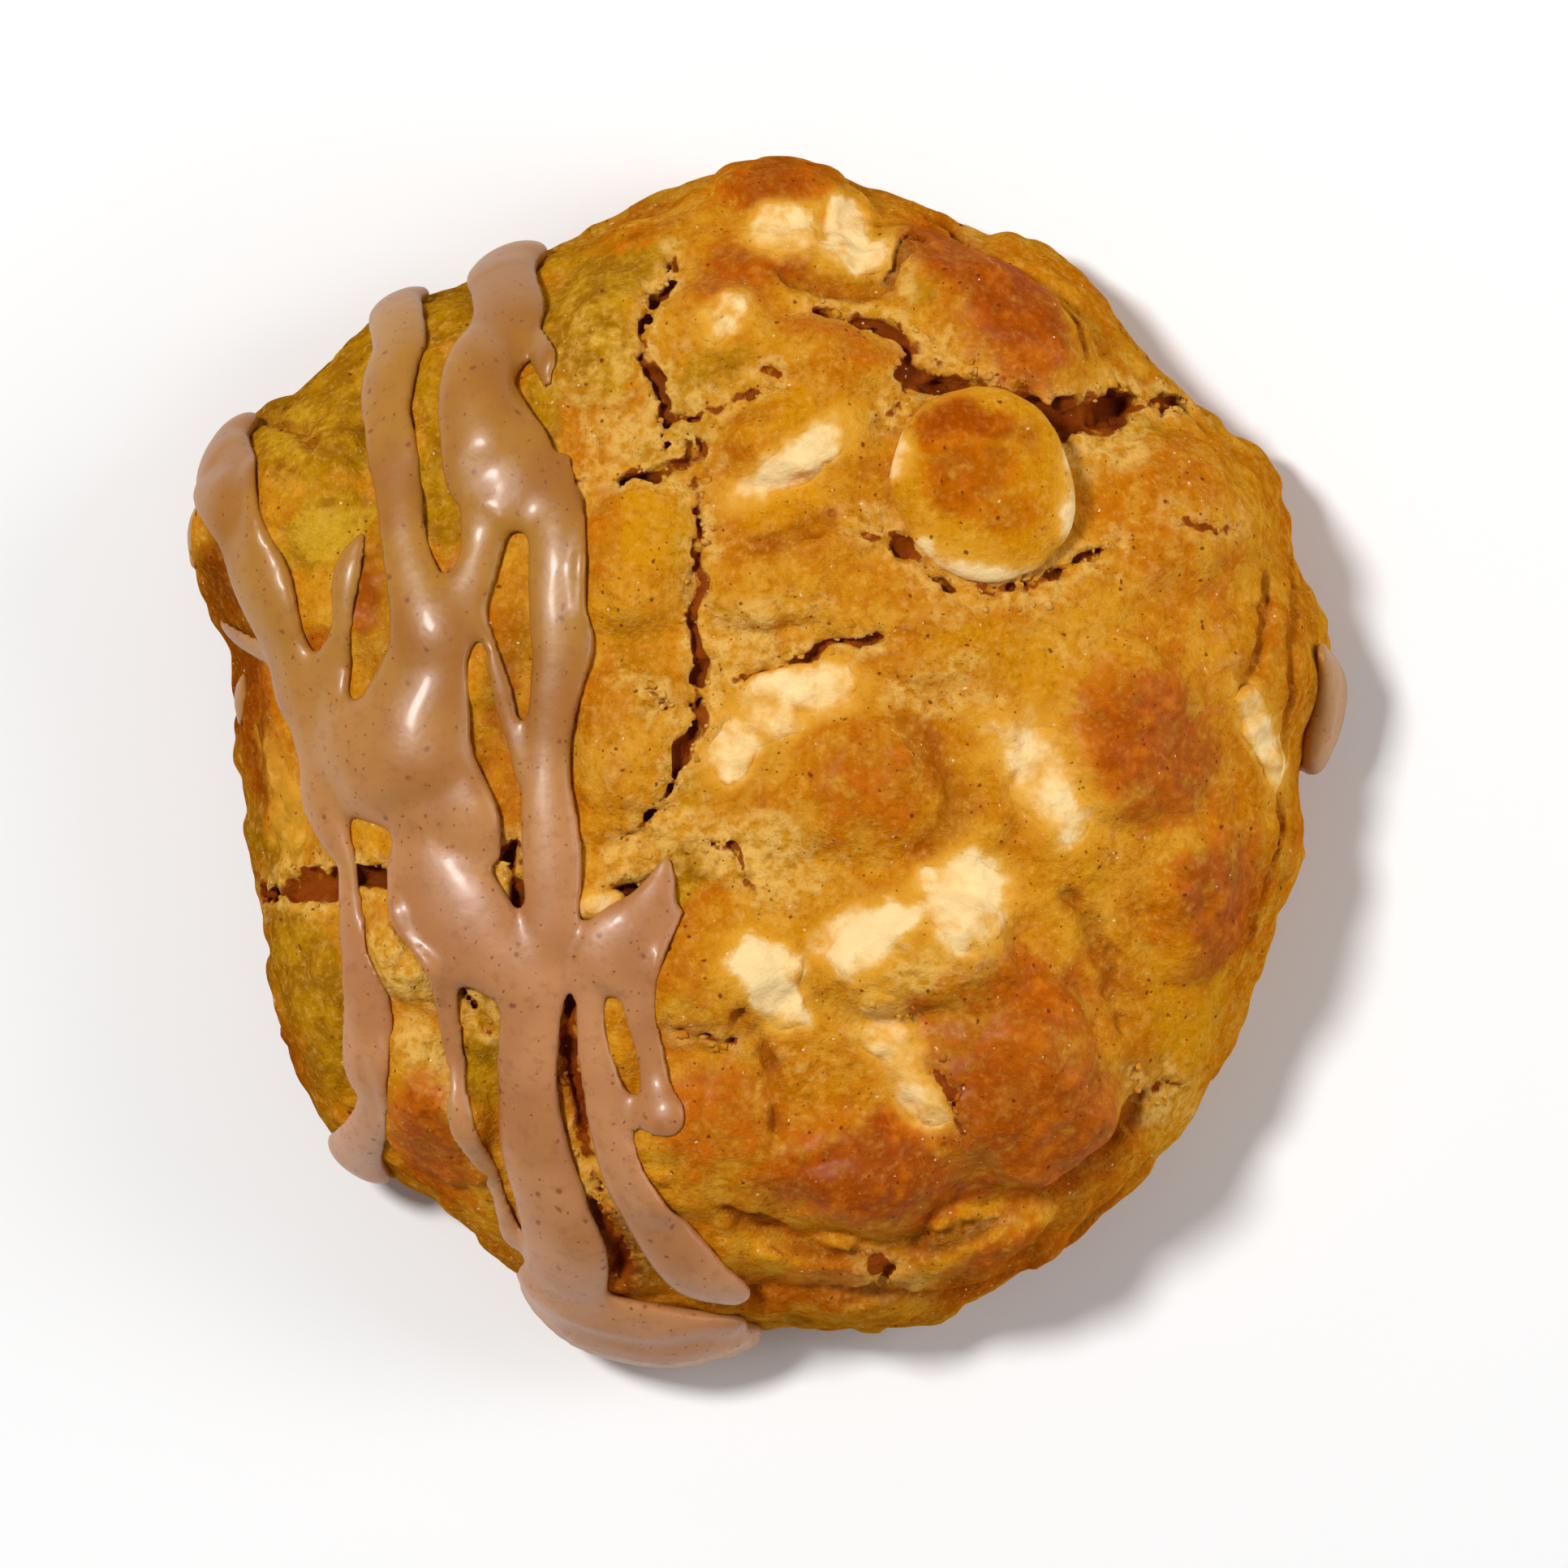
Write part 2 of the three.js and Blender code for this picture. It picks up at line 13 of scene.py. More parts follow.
import bpy
import numpy as np
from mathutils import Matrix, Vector


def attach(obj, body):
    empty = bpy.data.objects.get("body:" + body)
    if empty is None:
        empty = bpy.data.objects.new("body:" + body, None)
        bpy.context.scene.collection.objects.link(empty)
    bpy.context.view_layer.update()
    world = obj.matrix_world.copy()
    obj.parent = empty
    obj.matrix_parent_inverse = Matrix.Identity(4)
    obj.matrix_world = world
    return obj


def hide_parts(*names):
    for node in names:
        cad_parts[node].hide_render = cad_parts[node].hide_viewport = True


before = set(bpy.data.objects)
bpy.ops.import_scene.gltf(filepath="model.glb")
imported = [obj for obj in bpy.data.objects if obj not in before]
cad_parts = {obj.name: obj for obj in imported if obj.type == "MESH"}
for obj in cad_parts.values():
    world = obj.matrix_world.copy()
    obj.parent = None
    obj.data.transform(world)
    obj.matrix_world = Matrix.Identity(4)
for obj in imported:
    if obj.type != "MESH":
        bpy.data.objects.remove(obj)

started = time.time()
MM = 0.001
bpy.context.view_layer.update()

# %% [markdown]
# ## Camera, floor and light
# The photograph looks straight down, and nearly without perspective, so a long lens stands far above
# the middle of the picture. The light is soft: a broad panel high at the upper left throws the short
# shadow to the lower right, and a narrow strip low on the right draws the bright streaks that run
# along the right shoulders of the icing. A weak fill and a pale sky keep the shadow open. All three
# lamps are area lights, because real studio light has size.

# %% Camera
PLAN_SHIFT = np.array([-0.09, -0.14, 0.0])  # from the plan of the cookie to the frame, in mm
VIEW_CENTRE = (1.79, -2.21)  # plan point in the middle of the picture, in mm
VIEW_WIDTH = 138.0  # mm across the picture, at the height of the cookie's shoulder
SHOULDER = 22.0
CAMERA_HEIGHT = 1200.0
SENSOR = 36.0
CLIP = (0.05, 20.0)  # nearest and farthest that shows, in metres

camera = bpy.data.objects.new("camera", bpy.data.cameras.new("camera"))
bpy.context.collection.objects.link(camera)
camera.data.sensor_width = SENSOR
camera.data.lens = SENSOR * (CAMERA_HEIGHT - SHOULDER) / VIEW_WIDTH
camera.data.clip_start, camera.data.clip_end = CLIP
camera.location = (Vector((*VIEW_CENTRE, CAMERA_HEIGHT)) + Vector(PLAN_SHIFT)) * MM
bpy.context.scene.camera = camera
print("lens", round(camera.data.lens), "mm")

# %% Floor
FLOOR_HALF = 3.0  # metres

floor_mesh = bpy.data.meshes.new("floor")
corners = [(x * FLOOR_HALF, y * FLOOR_HALF, 0) for x, y in ((-1, -1), (1, -1), (1, 1), (-1, 1))]
floor_mesh.from_pydata(corners, [], [(0, 1, 2, 3)])
floor = bpy.data.objects.new("floor", floor_mesh)
bpy.context.collection.objects.link(floor)
print("floor", 2 * FLOOR_HALF, "m across")


# %% Light
AIM_HEIGHT = 0.02  # the lamps look at a point this high over the floor, in metres
SKY_STRENGTH = 0.2


def panel(name, azimuth, elevation, distance, size, power, gloss):
    """A flat lamp that looks at the cookie. Azimuth 0 is the right of the picture, 90 its top.
    Gloss is the share of it that shows in shiny surfaces."""
    lamp = bpy.data.lights.new(name, "AREA")
    lamp.shape = "ELLIPSE"
    lamp.size, lamp.size_y = size
    lamp.energy = power
    lamp.specular_factor = gloss
    thing = bpy.data.objects.new(name, lamp)
    bpy.context.collection.objects.link(thing)
    a, e = math.radians(azimuth), math.radians(elevation)
    away = Vector((math.cos(a) * math.cos(e), math.sin(a) * math.cos(e), math.sin(e)))
    thing.location = away * distance + Vector((0, 0, AIM_HEIGHT))
    thing.rotation_mode = "QUATERNION"
    thing.rotation_quaternion = away.to_track_quat("Z", "Y")


panel("key", azimuth=150, elevation=62, distance=1.2, size=(0.2, 0.2), power=11.2, gloss=0.03)
panel("strip", azimuth=0, elevation=20, distance=0.8, size=(0.5, 0.06), power=1.5, gloss=0.5)
panel("fill", azimuth=15, elevation=42, distance=1.4, size=(0.6, 0.6), power=3.0, gloss=0.05)

sky = bpy.data.worlds.new("studio")
sky.use_nodes = True
sky.node_tree.nodes["Background"].inputs["Color"].default_value = (1, 1, 1, 1)
sky.node_tree.nodes["Background"].inputs["Strength"].default_value = SKY_STRENGTH
bpy.context.scene.world = sky
bpy.context.scene.view_settings.view_transform = "Standard"
print("three lamps, and a sky of strength", SKY_STRENGTH)

# %% [markdown]
# ## Arithmetic for materials
# A material is a graph of nodes. Written as Python expressions the graph stays readable: a Wire is
# one value in the graph, and adding or multiplying wires adds the Math nodes. Every other node comes
# from the one method of Finish, which takes its type, its settings and its sockets.


# %% Wires and finishes
class Wire:
    """One output of a node, with the arithmetic of plain numbers."""

    def __init__(self, finish, socket):
        self.finish = finish
        self.socket = socket

    def math(self, operation, *others):
        values = {number: value for number, value in enumerate(others)}
        return self.finish.add("Math", {"operation": operation}, values)

    def __add__(self, other):
        return self.math("ADD", self, other)

    def __sub__(self, other):
        return self.math("SUBTRACT", self, other)

    def __rsub__(self, other):
        return self.math("SUBTRACT", other, self)

    def __mul__(self, other):
        return self.math("MULTIPLY", self, other)

    __radd__ = __add__
    __rmul__ = __mul__

    def most(self, other):
        return self.math("MAXIMUM", self, other)

    def between(self, low, high):
        """0 below low, 1 above high, and a smooth step between."""
        sockets = {"Value": self, "From Min": low, "From Max": high}
        return self.finish.add("MapRange", {"interpolation_type": "SMOOTHSTEP"}, sockets)


class Finish:
    """A material in the making."""

    STIR_SIZE, STIR_PUSH = 0.9, 0.7  # of the noise that makes flecks uneven, in mm

    def __init__(self, name):
        self.material = bpy.data.materials.new(name)
        self.material.use_nodes = True
        self.tree = self.material.node_tree
        self.tree.nodes.clear()
        self.place = self.add("TexCoord", out="Object")
        stir = {"Vector": self.place, "Scale": 1 / (self.STIR_SIZE * MM), "Detail": 2.0}
        push = self.add("TexNoise", {"noise_dimensions": "3D"}, stir, "Color")
        moved = {0: push, 1: (self.STIR_PUSH * MM,) * 3, 2: self.place}
        self.stirred = self.add("VectorMath", {"operation": "MULTIPLY_ADD"}, moved)

    def add(self, kind, settings=None, sockets=None, out=0):
        """A node of a type, its settings set first, then its sockets as numbers, colours or wires."""
        node = self.tree.nodes.new("ShaderNode" + kind)
        for name, value in (settings or {}).items():
            setattr(node, name, value)
        for name, value in (sockets or {}).items():
            if isinstance(value, Wire):
                self.tree.links.new(value.socket, node.inputs[name])
            else:
                node.inputs[name].default_value = value
        return Wire(self, node.outputs[out] if node.outputs else None)

    def painted(self, name):
        """A mask that the mesh carries at its points."""
        return self.add("Attribute", {"attribute_name": name}, out="Fac")

    def swells(self, size, detail, roughness=0.5):
        """Soft random variation, from 0 to 1, in swells of a size in mm."""
        sockets = {"Vector": self.place, "Scale": 1 / (size * MM)}
        sockets.update(Detail=detail, Roughness=roughness)
        return self.add("TexNoise", {"noise_dimensions": "3D"}, sockets)

    def flecks(self, size, radius, share, soft=0.5):
        """Uneven flecks: 1 inside a radius in mm, in a share of the cells of a size in mm. A fleck
        fades over the soft share of its radius."""
        sockets = {"Vector": self.stirred, "Scale": 1 / (size * MM), "Randomness": 1.0}
        near = self.add("TexVoronoi", {"feature": "F1"}, sockets, "Distance")
        tint = self.add("TexVoronoi", {"feature": "F1"}, sockets, "Color")
        draw = self.add("SeparateColor", {}, {0: tint}, "Red")
        reach = radius / size
        inside = 1 - near.between(reach * (1 - soft), reach)
        return inside * draw.between(1 - share - 0.01, 1 - share)

    def blend(self, share, first, second):
        """Two colours blended by a share."""
        settings = {"data_type": "RGBA", "blend_type": "MIX", "clamp_factor": True}
        return self.add("Mix", settings, {0: share, 6: first, 7: second}, 2)

    def bump(self, height, depth, strength=1.0):
        """Fine relief: a height from 0 to 1 that stands for a depth in mm."""
        return self.add("Bump", {}, {"Height": height, "Distance": depth * MM, "Strength": strength})

    def close(self, **sockets):
        """The surface shader, and the end of the graph."""
        named = {name.replace("_", " "): value for name, value in sockets.items()}
        shader = self.add("BsdfPrincipled", {}, named)
        self.add("OutputMaterial", {}, {"Surface": shader})
        return self.material


def paint(red, green, blue):
    """A colour as a screen shows it, from 0 to 255, in the linear light that shaders use."""
    shown = [c / 255 for c in (red, green, blue)]
    return (*(c / 12.92 if c <= 0.04045 else ((c + 0.055) / 1.055) ** 2.4 for c in shown), 1.0)


paper = Finish("pale_floor")
floor_mesh.materials.append(paper.close(Base_Color=paint(250, 250, 250), Roughness=0.9))

# %% [markdown]
# ## Numbers in a box
# A Block holds the places of a box of voxels. Its part method cuts out the few voxels round one lump,
# crack or rope, so that hundreds of small forms cost little. Noise gives smooth random swells: random
# numbers on a coarse lattice, blended between, the same for a whole block as for single points. What
# is uneven on the cookie is given as layers: rows of a size, an amount and a seed.


# %% Block
class Block:
    """The places of a box of voxels, in mm."""

    def __init__(self, low, high, step):
        self.step = step
        self.low = np.array(low, float)
        sizes = [int(math.ceil((b - a) / step)) + 1 for a, b in zip(low, high)]
        self.axes = [a + step * np.arange(size) for a, size in zip(low, sizes)]
        self.shape = tuple(sizes)

    def part(self, low, high):
        """The slices between two corners, and the x, y and z in them."""
        cut = []
        for axis, a, b in zip(self.axes, low, high):
            start = int(np.searchsorted(axis, a))
            cut.append(slice(start, max(start, int(np.searchsorted(axis, b)))))
        x, y, z = (axis[piece].astype(np.float32) for axis, piece in zip(self.axes, cut))
        return tuple(cut), (x[:, None, None], y[None, :, None], z[None, None, :])

    def whole(self):
        """The x, y and z of all the voxels."""
        return self.part([-1e9] * 3, [1e9] * 3)[1]


# %% Noise
class Noise:
    """Smooth random swells of a size in mm, from -1 to 1. The size may differ along x, y and z."""

    LATTICE = 64

    def __init__(self, size, seed):
        self.size = size if isinstance(size, tuple) else (size, size, size)
        random = np.random.default_rng(seed)
        self.values = random.uniform(-1, 1, (self.LATTICE,) * 3).astype(np.float32)

    def _steps(self, axis, number):
        place = axis / self.size[number]
        low = np.floor(place).astype(int)
        t = (place - low).astype(np.float32)
        return low % self.LATTICE, (low + 1) % self.LATTICE, t * t * (3 - 2 * t)

    def over(self, x, y, z):
        """For a block's three axes."""
        values = self.values
        for number, axis in enumerate((x, y, z)):
            low, high, t = self._steps(axis.ravel(), number)
            t = t.reshape([-1 if k == number else 1 for k in range(3)])
            near, far = np.take(values, low, number), np.take(values, high, number)
            values = near + (far - near) * t
        return values

    def at(self, points):
        """For single points."""
        steps = [self._steps(points[:, number], number) for number in range(3)]
        total = np.zeros(len(points), np.float32)
        for i in (0, 1):
            for j in (0, 1):
                for k in (0, 1):
                    share = 1.0
                    for (_, _, t), high in zip(steps, (i, j, k)):
                        share = share * (t if high else 1 - t)
                    total += share * self.values[steps[0][i], steps[1][j], steps[2][k]]
        return total


def over_block(x, y, z):
    """A sampler, which turns a noise into its values: here over the axes of a block."""
    return lambda noise: noise.over(x, y, z)


def at_points(points):
    """A sampler for single points."""
    return lambda noise: noise.at(points)


def layered(layers, sample, later=0, fold=None):
    """The sum of noises given as size, amount and seed. Later is added to the seeds, for a second
    draw of the same noise, and a fold bends each noise before it counts."""
    total = 0
    for size, amount, seed in layers:
        value = sample(Noise(size, seed + later))
        total = total + amount * (fold(value) if fold else value)
    return total


# %% Soft joins and ovals
def smoothstep(low, high, value):
    """0 below low, 1 above high, and a smooth step between."""
    t = np.clip((value - low) / (high - low), 0, 1)
    return t * t * (3 - 2 * t)


def soft_least(a, b, soft):
    """The smaller of two fields, rounded where they meet: it joins forms with a fillet."""
    t = np.clip(0.5 + 0.5 * (b - a) / soft, 0, 1)
    return b + (a - b) * t - soft * t * (1 - t)


def soft_most(a, b, soft):
    """The larger of two fields, rounded where they meet: it cuts one form out of another."""
    return -soft_least(-a, -b, soft)


def oval_apart(x, y, oval):
    """How far a place lies from the middle of an oval, along it and across it: 1 on its outline. The
    oval is a row of x, y, half length, half width and turn."""
    oval_x, oval_y, length, width, turn = oval
    c, s = math.cos(math.radians(turn)), math.sin(math.radians(turn))
    dx, dy = x - oval_x, y - oval_y
    return (dx * c + dy * s) / length, (dy * c - dx * s) / width


# %% [markdown]
# ## The smooth form
# A drop of stiff dough bakes into a flat-topped dome over a short wall that leans in to the tray. The
# outline is uneven, so the radius of the waist is given every ten degrees and runs smoothly between.
# form_distance says how far a point lies outside that smooth cookie: the ground that lumps, cracks,
# icing and chocolate are all built on. These are the same sizes as the solid's.

# %% Sizes of the form
CROWN_HEIGHT = 34.0
WAIST_HEIGHT = 10.0
BASE_SHARE = 0.93
DOME_FLATNESS = 3
LEAST_SLOPE = 0.02  # keeps the distance finite over the flat top
FOOT_SPREAD = 1.4
FOOT_HEIGHT = 5.5
FOOT_HALF_THICKNESS = 4.0
GROUNDED = (0, 3)  # heights between which the relief fades out towards the floor
RIM_RADII = [
    47.1, 50.2, 49.6, 51.2, 48.8, 49.4, 49.6, 49.8, 50.6, 52.1, 50.0, 48.4,
    48.9, 51.4, 52.0, 54.4, 53.2, 46.9, 45.7, 45.4, 46.2, 48.8, 49.8, 48.6,
    48.9, 50.6, 50.2, 49.4, 50.5, 50.8, 50.0, 49.6, 48.8, 47.7, 46.9, 47.8,
]


def curve_through(values, steps, closed):
    """A smooth (Catmull-Rom) curve through rows of numbers, in a number of steps from row to row."""
    rows = np.array(values, float).reshape(len(values), -1)
    if closed:
        padded = np.concatenate([rows[-1:], rows, rows[:2]])
    else:
        padded = np.concatenate([2 * rows[:1] - rows[1:2], rows, 2 * rows[-1:] - rows[-2:-1]])
    pieces = []
    for a, b, c, d in zip(padded, padded[1:], padded[2:], padded[3:]):
        t = np.linspace(0, 1, steps, endpoint=False)[:, None]
        bend = 2 * a - 5 * b + 4 * c - d + t * (3 * (b - c) + d - a)
        pieces.append(b + 0.5 * t * (c - a + t * bend))
    if not closed:
        pieces.append(rows[-1:])
    return np.concatenate(pieces)


rim_table = curve_through(RIM_RADII, 20, True)[:, 0]
rim_angles = np.arange(len(rim_table)) * 2 * math.pi / len(rim_table)


def rim_radius(angle):
    """Radius of the waist in a direction."""
    return np.interp(angle, rim_angles, rim_table, period=2 * math.pi).astype(np.float32)


def dome_height(x, y):
    """Height of the smooth form over plan points."""
    share = np.minimum(np.hypot(x, y) / rim_radius(np.arctan2(y, x)), 1)
    return WAIST_HEIGHT + (CROWN_HEIGHT - WAIST_HEIGHT) * np.sqrt(1 - share**DOME_FLATNESS)


def dome_at(x, y):
    """The dome's height over one plan point, as a plain number."""
    return float(dome_height(np.array(float(x)), np.array(float(y))))


def form_distance(x, y, z):
    """Distance outwards from the smooth form, in mm."""
    radius = np.hypot(x, y)
    rim = rim_radius(np.arctan2(y, x))
    share = radius / rim
    rise = CROWN_HEIGHT - WAIST_HEIGHT
    up = (z - WAIST_HEIGHT) / rise
    steep = DOME_FLATNESS * share ** (DOME_FLATNESS - 1) / rim
    slope = np.sqrt((2 * up / rise) ** 2 + steep**2)
    dome = (up**2 + share**DOME_FLATNESS - 1) / np.maximum(slope, LEAST_SLOPE)
    down = np.clip(1 - z / WAIST_HEIGHT, 0, 1)
    wall = radius - rim * (1 - (1 - BASE_SHARE) * down**2)
    return np.where(z > WAIST_HEIGHT, dome, wall)


def form_normal(point):
    """Outward direction of the smooth form at one point of it."""
    x, y, z = point
    radius = max(math.hypot(x, y), 1e-6)
    rim = float(rim_radius(np.array(math.atan2(y, x))))
    share = min(radius / rim, 1)
    outward = DOME_FLATNESS * share ** (DOME_FLATNESS - 1) / rim
    upward = 2 * max(z - WAIST_HEIGHT, 0) / (CROWN_HEIGHT - WAIST_HEIGHT) ** 2
    normal = np.array([outward * x / radius, outward * y / radius, upward])
    return normal / np.linalg.norm(normal)


print("dome height over the middle", round(dome_at(0.1, 0.1), 1), "mm")

# %% [markdown]
# ## Lumps
# Pieces of chocolate and stiff dough under the crust push it up in mounds and slabs. Each lump is a
# smooth mound over its own oval, and on the wall it also fades up and down. Most rows are the lumps
# of the solid. Noise bends their outlines and adds the small swells that only show close by.

# %% Lumps
LUMPS = [
    # x, y, half length, half width, turn, rise
    (1, 51, 7, 5, 0, 3.3), (20, 40, 14, 6.5, -38, 3.6), (26.5, 43, 9, 4, -42, 1.6),
    (6, 35, 8.5, 4.5, -8, 2.6), (-14.5, 36.5, 10, 6.5, 80, 2.2), (-4.5, 38, 6, 5, 50, 1.6),
    (2, 27.5, 8.5, 5, 20, 2.2), (19, 24, 10.5, 10, 0, 2), (-11.5, 17.5, 8.5, 6, 90, 2.6),
    (1.5, 15.5, 8, 6, 10, 1.8), (-11.5, 0.5, 8, 5.5, 80, 2.4), (13, 11, 8, 5, -15, 1.3),
    (8.5, -3, 9.5, 8, 20, 2.6), (33, 2, 10.5, 8, -55, 2.0), (38, 22, 10, 9, -50, 1.8),
    (15, -18, 10, 6.5, 10, 3.2), (23, -29, 12, 10, -40, 3.4), (9, -36, 10.5, 6.5, 0, 3.2),
    (-4, -19, 8, 7, 30, 2.4), (-5, -34, 9, 8, 60, 1.8), (38.5, -12.5, 7.5, 6, 80, 1.8),
    (19, -42.5, 9, 3.6, 20, 2), (4, -44, 8, 3, -3, 1.4), (-40, 24, 9, 6, 60, 1.8),
    (-48, 19, 6, 4, 80, 1.5), (-40, -20, 10, 5, 100, 1.8), (-31, -17, 6, 3.5, 110, 2.2),
    (-29, -31, 8, 5.5, 110, 2.6), (-33, 2, 8, 8, 0, 1.4), (-26, 31, 10, 6, 90, 1.2),
]
LUMP_REACH = 9.0  # how far a lump reaches up and down a wall
LUMP_MOST = 4.0  # lumps that overlap don't rise higher than this


def lump_rise(lump, x, y, z):
    """How far one lump raises the crust at a place."""
    *oval, rise = lump
    along, across = oval_apart(x, y, oval)
    apart = along**2 + across**2 + ((z - dome_at(*lump[:2])) / LUMP_REACH) ** 2
    return rise * np.clip(1 - apart**2, 0, 1) ** 2


WARP = ((8.0, 1.9, 71), (3.2, 0.8, 72))  # size, push and seed of the noise that bends the lumps
GRAIN = ((6.4, 0.5, 11), (3.1, 0.36, 12))  # size, depth and seed of the coarse unevenness
SLUMPED = ((12.0, 12.0, 2.0), 0.5, 15)  # sizes along x, y and z, depth and seed, for the wall
SLUMPED_FADE = (16, 26)  # heights between which the layers of the wall fade out


SMOOTH_GROUND = 0.2  # what icing rests on instead of the unevenness


def foot_rise(z):
    """How far the foot of the wall spread."""
    return FOOT_SPREAD * np.exp(-(((z - FOOT_HEIGHT) / FOOT_HALF_THICKNESS) ** 2))


def bends(sample):
    """How far the lumps are pushed aside at each place, along x and y."""
    return layered(WARP, sample), layered(WARP, sample, later=10)


def clods(value):
    """Noise folded into round clods with creases between them."""
    return 2 * np.sqrt(value**2 + 0.02) - 0.7


def unevenness(sample, z, smoothed=False):
    """The coarse unevenness of the crust, with the layered look of the wall. Thick icing hides it,
    and rests on smooth ground."""
    if smoothed:
        return SMOOTH_GROUND
    sizes, depth, seed = SLUMPED
    slumped = depth * (1 - smoothstep(*SLUMPED_FADE, z)) * sample(Noise(sizes, seed))
    return layered(GRAIN, sample, fold=clods) + slumped


def crust_rise(points):
    """How far the crust stands out of the smooth form, at single points."""
    x, y, z = points.T
    sample = at_points(points)
    along, across = bends(sample)
    lumps = sum(lump_rise(lump, x + along, y + across, z) for lump in LUMPS)
    rise = np.minimum(lumps, LUMP_MOST) + foot_rise(z) + unevenness(sample, z)
    return rise * smoothstep(*GROUNDED, z)


def crust_level(block, smoothed=False):
    """Height over the crust at each voxel of a block, before its cracks and its fine grain."""
    x, y, z = block.whole()
    sample = over_block(x, y, z)
    along, across = bends(sample)
    rise = np.zeros(block.shape, np.float32)
    for lump in LUMPS:
        centre = np.array([*lump[:2], dome_at(*lump[:2])])
        reach = np.array([max(lump[2], lump[3]) + 2] * 2 + [LUMP_REACH])
        cut, (px, py, pz) = block.part(centre - reach, centre + reach)
        rise[cut] += lump_rise(lump, px + along[cut], py + across[cut], pz).astype(np.float32)
    rise = np.minimum(rise, LUMP_MOST) + foot_rise(z) + unevenness(sample, z, smoothed)
    return form_distance(x, y, z).astype(np.float32) - rise * smoothstep(*GROUNDED, z)


def crust_point(x, y, height=None):
    """The point of the crust over a plan point, or on its side at a height."""
    rim = float(rim_radius(np.array(math.atan2(y, x))))
    if height is None:
        keep = min(1.0, rim / math.hypot(x, y))
        z = dome_at(x * keep, y * keep)
    else:
        up = max(height - WAIST_HEIGHT, 0) / (CROWN_HEIGHT - WAIST_HEIGHT)
        down = max(1 - height / WAIST_HEIGHT, 0)
        share = (1 - up**2) ** (1 / DOME_FLATNESS) * (1 - (1 - BASE_SHARE) * down**2)
        keep = rim * share / math.hypot(x, y)
        z = height
    x, y = x * keep, y * keep
    smooth = np.array([x, y, z])
    return smooth + form_normal(smooth) * float(crust_rise(smooth[None])[0])


# %% [markdown]
# ## Runs over the crust
# Cracks and icing are both long forms that follow the crust. A run is a smooth curve through a few
# stops laid on the crust, and at each voxel near it two numbers matter: how far the voxel lies to the
# side of the run, and how far the run's half width reaches there.


# %% Runs
RUN_STEP = 1.2  # length of one straight piece of a run, in mm


def crust_run(stops):
    """A run through stops of x, y, width and perhaps height: rows of x, y, z and half width."""
    rows = []
    for x, y, width, *height in stops:
        rows.append([*crust_point(x, y, *height), width / 2])
    rows = np.array(rows)
    length = np.linalg.norm(np.diff(rows[:, :3], axis=0), axis=1).max()
    return curve_through(rows, max(2, int(math.ceil(length / RUN_STEP))), False)


def beside_run(block, level, run, reach, most=50.0, warp=None):
    """For each voxel near a run: the distance to its side, which is most away from it, and the half
    width there. A warp pushes the places aside along x and y, which makes the run wander."""
    low, high = run[:, :3].min(0) - reach, run[:, :3].max(0) + reach
    whole, _ = block.part(low, high)
    aside = np.full([piece.stop - piece.start for piece in whole], most, np.float32)
    half = np.ones_like(aside)
    for a, b in zip(run, run[1:]):
        low, high = np.minimum(a, b)[:3] - reach, np.maximum(a, b)[:3] + reach
        cut, (x, y, z) = block.part(low, high)
        if warp:
            x, y = x + warp[0][cut], y + warp[1][cut]
        step = b[:3] - a[:3]
        span = max(float(step @ step), 1e-9)
        share = ((x - a[0]) * step[0] + (y - a[1]) * step[1] + (z - a[2]) * step[2]) / span
        share = np.clip(share, 0, 1)
        apart = (x - a[0] - share * step[0]) ** 2 + (y - a[1] - share * step[1]) ** 2
        apart = apart + (z - a[2] - share * step[2]) ** 2
        side = np.sqrt(np.maximum(apart - np.minimum(level[cut] ** 2, apart), 0))
        local = tuple(slice(c.start - w.start, c.stop - w.start) for c, w in zip(cut, whole))
        wide = a[3] + share * (b[3] - a[3])
        nearer = side - wide < aside[local] - half[local]
        aside[local] = np.where(nearer, side, aside[local])
        half[local] = np.where(nearer, wide, half[local])
    return whole, aside, half


# %% [markdown]
# ## From numbers to a mesh
# Where the numbers change sign, between one voxel and the next, the surface passes. Surface nets put
# one vertex in each cell that the surface crosses, in the middle of its crossings, and one quad round
# each voxel edge that it crosses. The faces come out even in size, which suits food better than the
# long thin triangles of marching cubes.


